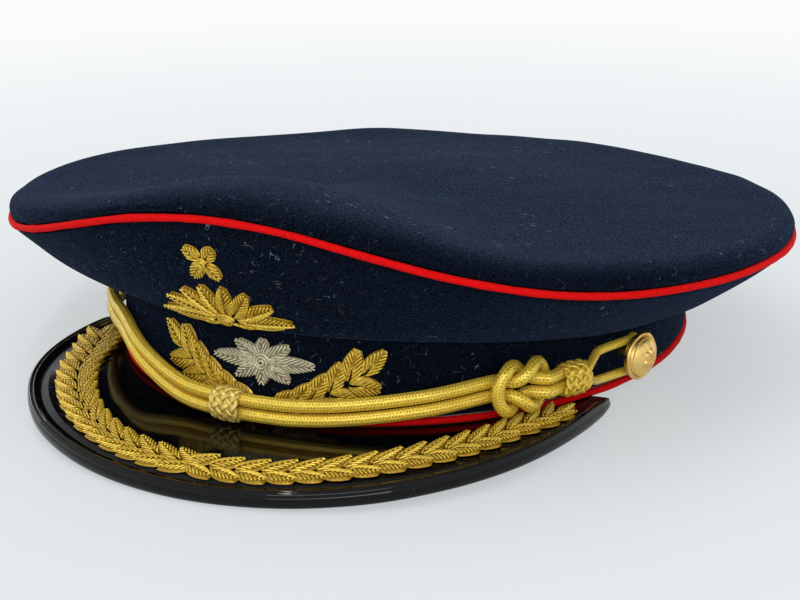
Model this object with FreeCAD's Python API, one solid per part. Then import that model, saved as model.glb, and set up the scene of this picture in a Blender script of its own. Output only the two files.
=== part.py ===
import FreeCAD, Part
import math
import os

V = FreeCAD.Vector

# Military peaked cap, in millimetres. It is drawn level, as on the head, and then stood on a table.
# +Z is up, the front is -Y and the wearer's left is +X. Angles go round the head from the front
# (0 degrees) towards the wearer's left (+90 degrees).

# Head opening and the layers of the band, from the head outwards
head_half_width = 82.0
head_half_length = 97.3
sweatband_wall = 1.2
pin_room = 2.15
stiffener_wall = 1.0
band_cloth_wall = 1.7
layer_gap = 0.3
band_height = 34.0
sweatband_height = 30.0
piping_radius = 1.2
oval_sides = 72

# Crown: the rim is the piped seam between the quarters and the top
crown_side_overhang = 37.3
crown_front_overhang = 24.95
crown_back_overhang = 8.35
rim_back_rise = 0.8
rim_front_rise = 32.0
rim_front_peak = 9.5
rim_side_rise = 3.5
rim_front_swell = 6.2
rim_lean = 3.0
cloth_wall = 2.2
quarter_seam_gap = 0.3
quarter_convexity = 6.0
fold_height_front = 27.5
fold_height_side = 21.0
fold_depth = 7.0
roll_front_height = 7.9
roll_back_height = 5.2
roll_side_rise = 0.6
roll_inset = 10.9
roll_side_inset = 7.3
roll_bulge = 1.6
dish_rise = 17.0

# Pieces hidden in the crown
wire_radius = 1.0
wire_inset = 5.2
ferrule_wall = 0.6
ferrule_length = 16.0
wadding_clearance = 0.6
lining_wall = 0.8
lining_drop = 5.3
shield_wall = 0.4
shield_drop = 1.8
shield_half_width = 40.0
shield_half_length = 48.0
stay_wall = 1.2
stay_half_angle = 17.0

# Visor
visor_side_overhang = 0.15
visor_front_reach = 47.4
visor_side_setback = 53.4
visor_squareness = 0.79
visor_side_run = 60.0
visor_end_angle = 98.0
visor_root_angle = 67.0
visor_drop = 5.5
visor_side_rise = 1.1
visor_arch = 1.6
visor_shell_wall = 1.4
visor_lining_wall = 1.0
visor_tuck = 2.4
visor_section_count = 31
binding_height = 5.4
binding_width = 4.6
binding_lip = 1.0
binding_round = 1.3
binding_fit = 0.5
garland_width = 14.0
garland_front_width = 9.0
garland_inset = 17.0
garland_front_inset = 11.5
garland_wall = 1.8
garland_reach = 0.86

# Badge, as raised embroidery on the band and the front quarter, sewn a little off the middle
embroidery_wall = 1.6
band_badge_angle = 2.0
crown_badge_angle = -2.5
wreath_half_angle = 24.0
wreath_base = 4.2
wreath_rise = 17.0
wreath_width = 8.0
star_half_width = 17.0
star_half_height = 7.8
star_height = 18.0
palmette_half_width = 23.0
palmette_half_height = 8.5
palmette_place = 17.0
rosette_radius = 6.0
rosette_place = 32.5

# Chin cord, with its two slide knots and the reef knot that joins its two loops
cord_radius = 2.0
cord_spread = 2.2
cord_standoff = 6.9
cord_front_height = 5.5
thin_cord_radius = 1.4
button_standoff = 4.2
button_angle = 74.0
button_height = 11.7
strap_rise = 4.5
loop_rise = 5.4
loop_reach = 4.3
reef_angle = 44.5
reef_length = 16.0
reef_half_height = 6.6
reef_end_reach = 5.0
reef_depth = 2.5
front_knot_angle = -3.0
side_knot_place = 25.0
side_knot_depth = 1.0
knot_length = 9.5
knot_height = 11.0
knot_depth = 8.8
knot_clearance = 0.35

# Side buttons
button_radius = 7.4
button_dome = 3.6
button_rim = 1.0
button_wall = 0.6
button_back_wall = 0.8
shank_radius = 1.2
shank_fit = 0.05
button_sides = 28
washer_radius = 4.5
washer_wall = 0.5
pin_head_radius = 2.6
pin_head_wall = 0.8

# Sizes that follow from those above
stiffener_offset = sweatband_wall + pin_room
cloth_offset = stiffener_offset + stiffener_wall + layer_gap
band_offset = cloth_offset + band_cloth_wall
band_half_width = head_half_width + band_offset
band_half_length = head_half_length + band_offset
cloth_bottom = 2 * piping_radius + layer_gap
rim_half_width = band_half_width + crown_side_overhang
rim_half_length = band_half_length + (crown_front_overhang + crown_back_overhang) / 2
rim_middle = (crown_back_overhang - crown_front_overhang) / 2
rim_back_height = band_height + rim_back_rise
rim_front_height = band_height + rim_front_rise
dish_height = band_height + dish_rise
visor_half_width = band_half_width + visor_side_overhang
visor_side_place = visor_side_setback - band_half_length
visor_front_run = visor_front_reach + visor_side_setback
visor_wall = visor_shell_wall + layer_gap + visor_lining_wall
lining_top = dish_height - cloth_wall - lining_drop
cord_half_width = band_half_width + cord_standoff
cord_half_length = band_half_length + cord_standoff
washer_seat = -(band_offset - stiffener_offset) - layer_gap
pin_head_seat = washer_seat - washer_wall - layer_gap
button_seat = button_standoff + thin_cord_radius + layer_gap


def smooth(value, low, high):
    """0 below low, 1 above high and an even curve between them."""
    share = min(max((value - low) / (high - low), 0.0), 1.0)
    return share * share * (3 - 2 * share)


def mix(first, second, share):
    return first + (second - first) * share


def spaced(first, last, count):
    return [first + (last - first) * i / (count - 1) for i in range(count)]


def around(angle, half_width, half_length, height):
    """A point on an upright oval."""
    turn = math.radians(angle)
    return V(half_width * math.sin(turn), -half_length * math.cos(turn), height)


def band_point(angle, height, offset=0.0):
    """A point that stands off the band's outer face."""
    return around(angle, band_half_width + offset, band_half_length + offset, height)


def rim_point(angle):
    """The piped rim: high at the front, low at the sides and lowest at the back."""
    turn = math.radians(angle)
    peak = ((1 + math.cos(turn)) / 2) ** rim_front_peak
    side = (rim_side_rise + rim_front_swell * math.cos(turn)) * math.sin(turn) ** 2
    height = mix(rim_back_height, rim_front_height, peak) + side + rim_lean * math.sin(turn)
    return around(angle, rim_half_width, rim_half_length, height) + V(0, rim_middle, 0)


def inward(angle, distance):
    """A plan step from the rim towards the middle of the crown."""
    rim = rim_point(angle)
    way = V(-rim.x, rim_middle - rim.y, 0)
    return way.normalize() * distance


def polygon(points):
    return Part.makePolygon(points + [points[0]])


def strip(low, high):
    """Triangular faces between two rings of points."""
    faces = []
    for i in range(len(low)):
        faces.append(Part.Face(polygon([low[i - 1], low[i], high[i]])))
        faces.append(Part.Face(polygon([low[i - 1], high[i], high[i - 1]])))
    return faces


def fan(ring, middle):
    return [Part.Face(polygon([ring[i - 1], ring[i], middle])) for i in range(len(ring))]


def solid(faces):
    shell = Part.makeShell(faces)
    shell.sewShape()
    body = Part.makeSolid(shell)
    if body.Volume < 0:
        body.reverse()
    return body


def loft(sections, closed=False):
    """A solid through sections, each a closed list of points; open ends are flat."""
    faces = []
    for low, high in zip(sections, sections[1:]):
        faces += strip(low, high)
    if closed:
        faces += strip(sections[-1], sections[0])
    else:
        faces += [Part.Face(polygon(end)) for end in (sections[0], sections[-1])]
    return solid(faces)


def closed_shell(skins):
    """The solid between two skins, each a list of rings that ends in a middle point."""
    faces = strip(skins[0][0][0], skins[1][0][0])
    for rings, middle in skins:
        for low, high in zip(rings, rings[1:]):
            faces += strip(low, high)
        faces += fan(rings[-1], middle)
    return solid(faces)


def tube(points, radii, sides=6, closed=False):
    """A round tube along points that run round the head, with a radius at each."""
    count = len(points)
    sections = []
    for i, point in enumerate(points):
        before = points[i - 1] if closed or i > 0 else point
        after = points[(i + 1) % count] if closed or i < count - 1 else point
        ahead = (after - before).normalize()
        up = ahead.cross(V(point.x, point.y, 0)).normalize()
        out = up.cross(ahead)
        turns = [2 * math.pi * k / sides for k in range(sides)]
        sections.append([point + out * (radii[i] * math.cos(t)) + up * (radii[i] * math.sin(t))
                         for t in turns])
    return loft(sections, closed)


def hoop(function, radius, count=48, sides=6):
    """A closed tube through the points function(angle)."""
    points = [function(360.0 * i / count) for i in range(count)]
    return tube(points, [radius] * count, sides, True)


def oval_ring(inner_offset, wall, bottom, top):
    """An upright oval layer of the band, that stands off the head opening."""
    rings = []
    for offset in (inner_offset, inner_offset + wall):
        points = [around(360.0 * i / oval_sides, head_half_width + offset,
                         head_half_length + offset, bottom) for i in range(oval_sides)]
        rings.append(Part.Face(polygon(points)))
    return rings[1].cut(rings[0]).extrude(V(0, 0, top - bottom)).Solids[0]


# Band

def sweatband():
    return oval_ring(0.0, sweatband_wall, piping_radius, piping_radius + sweatband_height)


def button_axis(side):
    """Where a button's axis leaves the band's outer face, and its outward direction."""
    turn = math.radians(side * button_angle)
    normal = V(math.sin(turn) / band_half_width, -math.cos(turn) / band_half_length, 0)
    return band_point(side * button_angle, button_height), normal.normalize()


def disc(side, radius, start, wall):
    """A cylinder on a button's axis, from start out from the band's face."""
    foot, normal = button_axis(side)
    return Part.makeCylinder(radius, wall, foot + normal * start, normal)


def with_button_holes(ring):
    for side in (-1, 1):
        ring = ring.cut(disc(side, shank_radius + shank_fit, -2 * band_offset, 3 * band_offset))
    return ring.Solids[0]


def band_stiffener():
    return with_button_holes(oval_ring(stiffener_offset, stiffener_wall, piping_radius,
                                       band_height - layer_gap))


def band_cloth():
    return with_button_holes(oval_ring(cloth_offset, band_cloth_wall, cloth_bottom, band_height))


def band_piping():
    """The red cord under the band; the cap stands on it at the back."""
    return hoop(lambda a: band_point(a, piping_radius, -piping_radius / 2), piping_radius)


# Crown

def fold_height(angle):
    """Height of the soft fold where a quarter hangs over the band."""
    back = min(abs(angle), 360 - abs(angle))
    return mix(fold_height_front, fold_height_side, smooth(back, 25, 85))


def bezier(a, b, c, d, t):
    s = 1 - t
    return a * s**3 + b * (3 * s * s * t) + c * (3 * s * t * t) + d * t**3


def quarter_point(angle, t, inner):
    """A quarter's outer or inner face at share t of the way from the band to the rim."""
    foot = band_point(angle, 0)
    rim = rim_point(angle)
    way = V(rim.x - foot.x, rim.y - foot.y, 0)
    reach = way.Length
    way.normalize()
    fold = fold_height(angle)
    normal = V(rim.z - fold, 0, -reach).normalize()
    middle = V(reach / 2, 0, (fold + rim.z) / 2) + normal * quarter_convexity
    top = V(reach - layer_gap, 0, rim.z - piping_radius - layer_gap)
    if inner:
        start = V(layer_gap, 0, band_height)
        hook = V(2 * cloth_wall, 0, mix(fold, band_height, 0.4))
        middle -= normal * (2 * cloth_wall)
        top -= V(cloth_wall, 0, 0)
    else:
        start = V(layer_gap, 0, fold + cloth_wall)
        hook = V(2 * layer_gap, 0, fold - fold_depth)
    place = bezier(start, hook, middle, top, t)
    return foot + way * place.x + V(0, 0, place.z)


def quarter(first, last):
    """One of the four cloth quarters, between two seams."""
    seam = math.degrees(quarter_seam_gap / rim_half_width) / 2
    sections = []
    for angle in spaced(first + seam, last - seam, 13):
        outer = [quarter_point(angle, t, False) for t in (0, 0.08, 0.2, 0.38, 0.65, 1)]
        inner = [quarter_point(angle, t, True) for t in (1, 0.66, 0.33, 0)]
        sections.append(outer + inner)
    return loft(sections)


def front_quarter():
    return quarter(-45, 45)


def left_quarter():
    return quarter(45, 135)


def back_quarter():
    return quarter(135, 225)


def right_quarter():
    return quarter(225, 315)


def side_share(angle):
    """0 at the front and the back of the crown and 1 at its sides."""
    return smooth(abs(math.sin(math.radians(angle))), 0.3, 0.95)


def roll_depth(angle):
    """How far inside the rim the crest of the padded edge lies."""
    return mix(roll_inset, roll_side_inset, side_share(angle))


def roll_height(angle):
    """How high the crest of the padded edge stands above the rim."""
    back = (1 - math.cos(math.radians(angle))) / 2
    return mix(roll_front_height, roll_back_height, back) + roll_side_rise * side_share(angle)


def top_point(angle, share, skin):
    """The crown top: share 0 to 1 climbs its rolled edge, 1 to 2 crosses the dish."""
    rim = rim_point(angle)
    inset = roll_depth(angle)
    if share <= 1:
        turn = share * math.pi / 2
        step = inset * (1 - math.cos(turn)) - roll_bulge * math.sin(2 * turn) + skin
        base = piping_radius + layer_gap
        rise = base + (roll_height(angle) - base - skin) * math.sin(turn)
        return rim + inward(angle, step) + V(0, 0, rise)
    ridge = rim + inward(angle, inset + skin)
    out = 2 - share
    weight = 2 * out**2 - out**4
    height = mix(dish_height, rim.z + roll_height(angle), weight) - skin
    return V(ridge.x * out, mix(rim_middle, ridge.y, out), height)


def top_skin(skin, shares, count=40):
    rings = [[top_point(360.0 * i / count, s, skin) for i in range(count)] for s in shares]
    return rings, V(0, rim_middle, dish_height - skin)


def crown_top():
    """The top cloth, padded over its edge and dished in the middle."""
    shares = (0, 0.3, 0.62, 1, 1.2, 1.45, 1.75)
    return closed_shell([top_skin(0.0, shares), top_skin(cloth_wall, shares)])


def crown_piping():
    return hoop(rim_point, piping_radius, 52)


def wire_point(angle):
    return rim_point(angle) + inward(angle, wire_inset)


def crown_wire():
    """The spring hoop that keeps the rim spread."""
    return hoop(wire_point, wire_radius, 40, 4)


def crown_wire_ferrule():
    """The tube that joins the hoop's ends at the back."""
    half = math.degrees(ferrule_length / 2 / rim_half_length)
    inside = wire_radius + 2 * layer_gap
    outside = tube([wire_point(a) for a in spaced(180 - half, 180 + half, 5)],
                   [inside + ferrule_wall] * 5)
    bore = tube([wire_point(a) for a in spaced(180 - 2 * half, 180 + 2 * half, 9)], [inside] * 9)
    return outside.cut(bore).Solids[0]


def crown_wadding():
    """The roll of padding that fills the room between the wire and the top's rounded edge."""
    points, radii = [], []
    for angle in range(0, 360, 10):
        middle = (roll_height(angle) - cloth_wall) / 2
        inset = (wire_inset + roll_depth(angle) + cloth_wall) / 2
        points.append(rim_point(angle) + inward(angle, inset) + V(0, 0, middle))
        radii.append(middle - wadding_clearance)
    return tube(points, radii, 6, True)


def lining_point(angle, out, skin):
    """The lining's dome: out is 1 where it meets the sweatband and 0 in its middle."""
    width = head_half_width + sweatband_wall - skin
    length = head_half_length + sweatband_wall - skin
    foot = piping_radius + sweatband_height + layer_gap
    height = mix(lining_top, foot, out**3) - skin * (1 - out**8)
    return around(angle, width * out, length * out, height)


def crown_lining():
    skins = []
    for skin in (0.0, lining_wall):
        rings = [[lining_point(360.0 * i / 36, out, skin) for i in range(36)]
                 for out in (1, 0.92, 0.82, 0.68, 0.45)]
        skins.append((rings, lining_point(0, 0, skin)))
    return closed_shell(skins)


def sweat_shield():
    """The clear film under the lining, a long diamond with soft corners."""
    def ring(size, drop):
        points = []
        for i in range(24):
            turn = 2 * math.pi * i / 24
            pull = size / (abs(math.cos(turn)) ** 1.3 + abs(math.sin(turn)) ** 1.3)
            x = shield_half_width * pull * math.cos(turn)
            y = shield_half_length * pull * math.sin(turn)
            points.append(V(x, y, lining_top - lining_wall - shield_drop - drop))
        return points
    return loft([ring(1.0, 0.0), ring(1.0, shield_wall)])


def front_stay():
    """The springy plate that holds the front of the crown up."""
    sections = []
    for angle in spaced(-stay_half_angle, stay_half_angle, 7):
        low = band_point(angle, band_height + layer_gap, -layer_gap - stay_wall)
        high = rim_point(angle) + inward(angle, wire_inset + 3 * wire_radius) - V(0, 0, 2 * cloth_wall)
        back = inward(angle, stay_wall)
        sections.append([low, high, high + back, low + back])
    return loft(sections)


# Visor

def visor_edge(share):
    """The outer line of the visor; share runs from -1 at its right end to 1 at its left."""
    angle = abs(share) * visor_end_angle
    turn = math.radians(angle)
    x = math.copysign(visor_half_width * math.sin(turn), share)
    if angle <= 90:
        y = visor_side_place - visor_front_run * math.cos(turn) ** visor_squareness
    else:
        y = visor_side_place - visor_side_run * math.cos(turn)
    return V(x, y, mix(-visor_drop, visor_side_rise, math.sin(turn) ** 2))


def visor_point(share, t, down=0.0):
    """The visor's top face at share t from the band to the edge, or a face under it."""
    root = band_point(share * visor_root_angle, -layer_gap, -visor_tuck)
    edge = visor_edge(share)
    arch = visor_arch * 4 * t * (1 - t) * max(math.cos(math.radians(share * visor_end_angle)), 0)
    return root + (edge - root) * t + V(0, 0, arch - down)


def visor_width(share):
    return (visor_edge(share) - visor_point(share, 0)).Length


def visor_layer(down, wall):
    sections = []
    for share in spaced(-1, 1, visor_section_count):
        last = 1 - (binding_lip + layer_gap) / visor_width(share)
        shares = [last * k / 3 for k in range(4)]
        top = [visor_point(share, t, down) for t in shares]
        bottom = [visor_point(share, t, down + wall) for t in reversed(shares)]
        sections.append(top + bottom)
    return loft(sections)


def visor_shell():
    return visor_layer(0.0, visor_shell_wall)


def visor_lining():
    return visor_layer(visor_shell_wall + layer_gap, visor_lining_wall)


def visor_binding():
    """The patent binding, a channel that grips both layers of the visor's edge."""
    half = binding_width / 2
    side = binding_height / 2
    slot = visor_wall / 2 + binding_fit
    profile = [(-half, side), (half - binding_round, side), (half, side - binding_round),
               (half, binding_round - side), (half - binding_round, -side), (-half, -side),
               (-half, -slot), (half - binding_lip, -slot), (half - binding_lip, slot), (-half, slot)]
    sections = []
    for share in spaced(-1, 1, visor_section_count):
        edge = visor_point(share, 1)
        out = (edge - visor_point(share, 0.9)).normalize()
        along = visor_edge(min(share + 0.01, 1)) - visor_edge(max(share - 0.01, -1))
        up = out.cross(along).normalize()
        if up.z < 0:
            up = up * -1
        middle = edge - out * half - V(0, 0, visor_wall / 2)
        sections.append([middle + out * x + up * z for x, z in profile])
    return loft(sections)


def garland(side):
    """A spray of gold leaves along one half of the visor."""
    sections = []
    for share in spaced(0.006, garland_reach, 20):
        width = visor_width(side * share)
        spread = smooth(share, 0.1, 0.6)
        taper = mix(1, 0.35, smooth(share, 0.8 * garland_reach, garland_reach))
        half = mix(garland_front_width, garland_width, spread) / 2 * taper / width
        middle = 1 - min(mix(garland_front_inset, garland_inset, spread) / width, 0.55)
        low, high = [visor_point(side * share, middle + s * half, -layer_gap) for s in (-1, 1)]
        inner, outer = [visor_point(side * share, middle + s * half * 0.7, -layer_gap - garland_wall)
                        for s in (-1, 1)]
        sections.append([low, high, outer, inner])
    return loft(sections)


def garland_left():
    return garland(1)


def garland_right():
    return garland(-1)


# Badge

def relief(place, outline, count=32):
    """A padded pad on a face: place(x, y, lift) is the face and outline(turn) its radius."""
    rings = []
    for lift, size in ((0, 1.0), (0.6 * embroidery_wall, 0.96)):
        ring = []
        for i in range(count):
            turn = 2 * math.pi * i / count
            radius = outline(turn) * size
            ring.append(place(radius * math.cos(turn), radius * math.sin(turn), lift))
        rings.append(ring)
    low, high = rings
    return solid(fan(low, place(0, 0, 0)) + strip(low, high) + fan(high, place(0, 0, embroidery_wall)))


def oval_radius(turn, half_width, half_height):
    return 1 / math.hypot(math.cos(turn) / half_width, math.sin(turn) / half_height)


def on_band(x, y, lift):
    angle = band_badge_angle + math.degrees(x / band_half_width)
    return band_point(angle, star_height + y, 2 * layer_gap + lift)


def on_front_quarter(place):
    """A face function for a motif centred a distance up the front quarter from its fold."""
    fold = 0.2
    slant = (quarter_point(0, 1, False) - quarter_point(0, fold, False)).Length

    def face(x, y, lift):
        angle = crown_badge_angle + math.degrees(x / (band_half_width + rim_half_width) * 2)
        t = fold + (place + y) * (1 - fold) / slant
        point = quarter_point(angle, t, False)
        rise = quarter_point(angle, t + 0.02, False) - point
        across = quarter_point(angle + 1, t, False) - point
        return point + across.cross(rise).normalize() * (layer_gap + lift)
    return face


def badge_wreath():
    """Two leafy branches that meet under the star."""
    sections = []
    for angle in spaced(-wreath_half_angle, wreath_half_angle, 17):
        part = angle / wreath_half_angle
        slope = math.atan2(2 * wreath_rise * part, math.radians(wreath_half_angle) * band_half_width)
        half = wreath_width / 2 * mix(1, 0.5, smooth(abs(part), 0.75, 1))
        middle = band_point(band_badge_angle + angle, wreath_base + wreath_rise * part**2,
                            2 * layer_gap)
        out = V(middle.x, middle.y, 0).normalize()
        across = V(0, 0, 1).cross(out) * -math.sin(slope) + V(0, 0, math.cos(slope))
        sections.append([middle + across * (half * a) + out * (embroidery_wall * b)
                         for a, b in ((-1, 0), (1, 0), (0.7, 1), (-0.7, 1))])
    return loft(sections)


def badge_star():
    def outline(turn):
        ray = abs(math.cos(4 * turn)) ** 1.5
        tip = 1.0 if abs(math.cos(2 * turn)) > 0.7 else 0.75
        return oval_radius(turn, star_half_width, star_half_height) * mix(0.45, tip, ray)
    return relief(on_band, outline)


def badge_palmette():
    def outline(turn):
        lobe = 0.86 + 0.14 * abs(math.cos(4.5 * turn))
        return oval_radius(turn, palmette_half_width, palmette_half_height) * lobe
    return relief(on_front_quarter(palmette_place), outline)


def badge_rosette():
    def outline(turn):
        return rosette_radius * (0.78 + 0.22 * math.cos(4 * turn))
    return relief(on_front_quarter(rosette_place), outline, 24)


# Chin cord

def cord_height(angle):
    """Height of the middle of the doubled cord as it runs round the front."""
    side = abs(angle)
    if angle >= 0:
        return mix(cord_front_height, button_height, smooth(side, 5, 50))
    rise = smooth(side, 9, 37)
    crest = strap_rise * rise * (1 - smooth(side, 46, 68))
    return mix(cord_front_height, button_height, rise) + crest


def cord_point(angle, height, depth):
    return band_point(angle, height, cord_standoff + depth)


def degrees_along(angle, distance):
    """The angle that a distance along the cord takes at an angle."""
    turn = math.radians(angle)
    pace = math.hypot(cord_half_width * math.cos(turn), cord_half_length * math.sin(turn))
    return math.degrees(distance / pace)


def reef_depth_at(along):
    """A strand's depth in the reef knot: behind, in front and behind again."""
    along = min(max(along, 0), reef_length)
    return reef_depth * math.sin(math.pi * (2 * along / reef_length - 0.5))


def reef_bight():
    """Half of one bight of the reef knot: distance along, height and depth of its points."""
    points = []
    for along in spaced(0, 0.75 * reef_length, 9):
        share = min(max(2 * along / reef_length - 0.5, 0), 1)
        height = mix(cord_spread, reef_half_height, (1 - math.cos(math.pi * share)) / 2)
        points.append((along, height, reef_depth_at(along)))
    for turn in spaced(18, 90, 5):
        along = 0.75 * reef_length + reef_end_reach * math.sin(math.radians(turn))
        height = reef_half_height * math.cos(math.radians(turn))
        points.append((along, height, reef_depth_at(along)))
    return points


def reef_point(along, height, depth):
    angle = reef_angle + degrees_along(reef_angle + 4.5, along)
    return cord_point(angle, cord_height(angle) + height, depth)


def button_loop(side):
    """The half turn of thin cord behind a button, from its upper strand to its lower one."""
    points = []
    for turn in (115, 80, 40, 0, -40, -80, -115):
        along = loop_reach * math.cos(math.radians(turn))
        angle = side * (button_angle + degrees_along(button_angle, along))
        height = button_height + loop_rise * math.sin(math.radians(turn))
        points.append((cord_point(angle, height, button_standoff - cord_standoff), thin_cord_radius))
    return points


def long_strand(side):
    """One strand of the long loop, from the right button to the reef knot."""
    points = []
    for angle in spaced(-67, reef_angle - 3, 27):
        near = smooth(-angle, 52, 68)
        height = cord_height(angle) + side * mix(cord_spread, 0.85 * loop_rise, near)
        depth = mix(0, button_standoff - cord_standoff, smooth(-angle, 24, 40))
        depth -= reef_depth * smooth(angle, reef_angle - 12, reef_angle)
        radius = mix(cord_radius, thin_cord_radius, smooth(-angle, 50, 62))
        points.append((cord_point(angle, height, depth), radius))
    return points


def long_path():
    """Points and radii along the long loop of cord."""
    bight = reef_bight()
    top = [(reef_point(a, h, d), cord_radius) for a, h, d in bight]
    bottom = [(reef_point(a, -h, d), cord_radius) for a, h, d in reversed(bight[:-1])]
    return (long_strand(1) + top + bottom + list(reversed(long_strand(-1)))
            + list(reversed(button_loop(-1))))


def short_strand(side):
    """One strand of the short loop, from the reef knot to the left button."""
    points = []
    end = side_knot_place + knot_length / 2
    for along in (side_knot_place - knot_length / 2, side_knot_place, end, end + 2, end + 5, end + 9):
        leave = smooth(along, end, end + 9)
        height = side * mix(cord_spread, 0.85 * loop_rise, leave)
        depth = mix(side_knot_depth, button_standoff - cord_standoff, leave)
        radius = mix(cord_radius, thin_cord_radius, smooth(along, end, end + 2))
        points.append((reef_point(along, height, depth), radius))
    return points


def short_path():
    """Points and radii along the short loop of cord."""
    bight = reef_bight()
    bottom = [(reef_point(reef_length - a, -h, -d), cord_radius) for a, h, d in bight]
    top = [(reef_point(reef_length - a, h, -d), cord_radius) for a, h, d in reversed(bight[:-1])]
    return short_strand(1) + button_loop(1) + list(reversed(short_strand(-1))) + bottom + top


def cord_tube(path):
    return tube([point for point, _ in path], [radius for _, radius in path], 6, True)


def cord_long():
    """The long loop of cord, from the right button round the front to the reef knot."""
    return cord_tube(long_path())


def cord_short():
    """The short loop, from the reef knot through the side knot to the left button."""
    return cord_tube(short_path())


def knot(angle, depth):
    """A woven slide knot: a barrel with a slot for the two strands side by side."""
    middle = cord_point(angle, cord_height(angle), depth)
    turn = math.radians(angle)
    out = V(math.sin(turn) / cord_half_width, -math.cos(turn) / cord_half_length, 0).normalize()
    along = V(-out.y, out.x, 0)

    def section(place, half_height, half_depth):
        ring = []
        for k in range(16):
            t = 2 * math.pi * k / 16
            ring.append(middle + along * place + out * (half_depth * math.cos(t))
                        + V(0, 0, half_height * math.sin(t)))
        return ring
    barrel = loft([section(knot_length / 2 * p, knot_height / 2 * s, knot_depth / 2 * s)
                   for p, s in ((-1, 0.86), (-0.5, 0.98), (0.5, 0.98), (1, 0.86))])
    half = cord_radius + knot_clearance
    slot = [(half, cord_spread), (half / 2, cord_spread + half), (-half / 2, cord_spread + half),
            (-half, cord_spread)]
    slot += [(x, -z) for x, z in reversed(slot)]
    bore = loft([[middle + along * (p * knot_length) + out * x + V(0, 0, z) for x, z in slot]
                 for p in (-1, 1)])
    return barrel.cut(bore).Solids[0]


def front_slide_knot():
    return knot(front_knot_angle, 0)


def side_slide_knot():
    return knot(reef_angle + degrees_along(reef_angle + 4.5, side_knot_place), side_knot_depth)


# Side buttons

def turned(side, profile):
    """A solid of revolution on a button's axis; profile lists (distance out, radius) from its tip."""
    foot, normal = button_axis(side)
    across = V(-normal.y, normal.x, 0)
    rings = []
    for out, radius in profile[1:-1]:
        rings.append([foot + normal * out + across * (radius * math.cos(2 * math.pi * i / button_sides))
                      + V(0, 0, radius * math.sin(2 * math.pi * i / button_sides))
                      for i in range(button_sides)])
    tips = [foot + normal * profile[i][0] for i in (0, -1)]
    faces = fan(rings[0], tips[0]) + fan(rings[-1], tips[1])
    for low, high in zip(rings, rings[1:]):
        faces += strip(low, high)
    return solid(faces)


def button_cap(side):
    """The pressed brass front: a dome inside a rolled rim."""
    base = button_seat + button_back_wall + shank_fit
    dome_radius = button_radius - button_rim
    outer = [(base + button_rim + button_dome * math.cos(t), dome_radius * math.sin(t))
             for t in (0, 0.5, 1.0, math.pi / 2)]
    rim = [(base + button_rim, button_radius - 0.3 * button_rim), (base + 0.5 * button_rim, button_radius),
           (base, button_radius - 0.3 * button_rim), (base, dome_radius - button_wall)]
    inner = [(base + button_rim + (button_dome - button_wall) * math.cos(t),
              (dome_radius - button_wall) * math.sin(t)) for t in (0.9, 0)]
    return turned(side, outer + rim + inner)


def button_back(side):
    return disc(side, button_radius - button_rim, button_seat, button_back_wall)


def button_shank(side):
    """The stem that passes through the band to a head behind the washer."""
    stem = disc(side, shank_radius, pin_head_seat, button_seat - pin_head_seat)
    head = disc(side, pin_head_radius, pin_head_seat - pin_head_wall, pin_head_wall)
    return stem.fuse(head).removeSplitter().Solids[0]


def button_washers():
    """The washers on the inner side of the stiffener, one behind each button."""
    washers = []
    for side in (-1, 1):
        plate = disc(side, washer_radius, washer_seat - washer_wall, washer_wall)
        washers.append(plate.cut(disc(side, shank_radius + shank_fit, pin_head_seat, band_offset)))
    return Part.makeCompound(washers)


def pieces():
    shapes = {function.__name__: function() for function in (
        sweatband, band_stiffener, band_cloth, band_piping, front_quarter, left_quarter,
        back_quarter, right_quarter, crown_top, crown_piping, crown_wire, crown_wire_ferrule,
        crown_wadding, crown_lining, sweat_shield, front_stay, visor_shell, visor_lining,
        visor_binding, garland_left, garland_right, badge_wreath, badge_star, badge_palmette,
        badge_rosette, cord_long, cord_short, front_slide_knot, side_slide_knot, button_washers)}
    for name, side in (("left", 1), ("right", -1)):
        shapes[name + "_button_cap"] = button_cap(side)
        shapes[name + "_button_back"] = button_back(side)
        shapes[name + "_button_shank"] = button_shank(side)
    return shapes


def standing(shapes):
    """Tip the cap so that the visor's edge and the back of the band touch the table.

    The origin is then under the middle of the cap, on the table.
    """
    low = shapes["visor_binding"].BoundBox
    lean = math.degrees(math.atan2(-low.ZMin, band_half_length - low.YMin))
    tip = FreeCAD.Placement(V(0, 0, 0), FreeCAD.Rotation(V(1, 0, 0), -lean))
    tipped = {name: shape.copy() for name, shape in shapes.items()}
    for shape in tipped.values():
        shape.Placement = tip.multiply(shape.Placement)
    whole = Part.makeCompound(list(tipped.values())).BoundBox
    shift = V(-whole.Center.x, -whole.Center.y, -whole.ZMin)
    for shape in tipped.values():
        shape.translate(shift)
    return tipped, lean, shift


def main():
    os.makedirs("parts", exist_ok=True)
    shapes, lean, shift = standing(pieces())
    for name, shape in shapes.items():
        shape.exportStep("parts/" + name + ".step")
    print("lean in degrees", round(lean, 3), "shift", shift)


if __name__ == "__main__":
    main()
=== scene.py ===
"""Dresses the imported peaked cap: soft cloth, patent visor, bullion embroidery, braided cord and gilt
buttons, set on a pale studio floor. Lengths are in metres. Pieces are drawn level, as on the head,
with the front towards -Y and the wearer's left towards +X, and then stood on the table."""

import math
from functools import partial

import bmesh
import bpy
import numpy as np
from mathutils import Matrix, Vector


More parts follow.
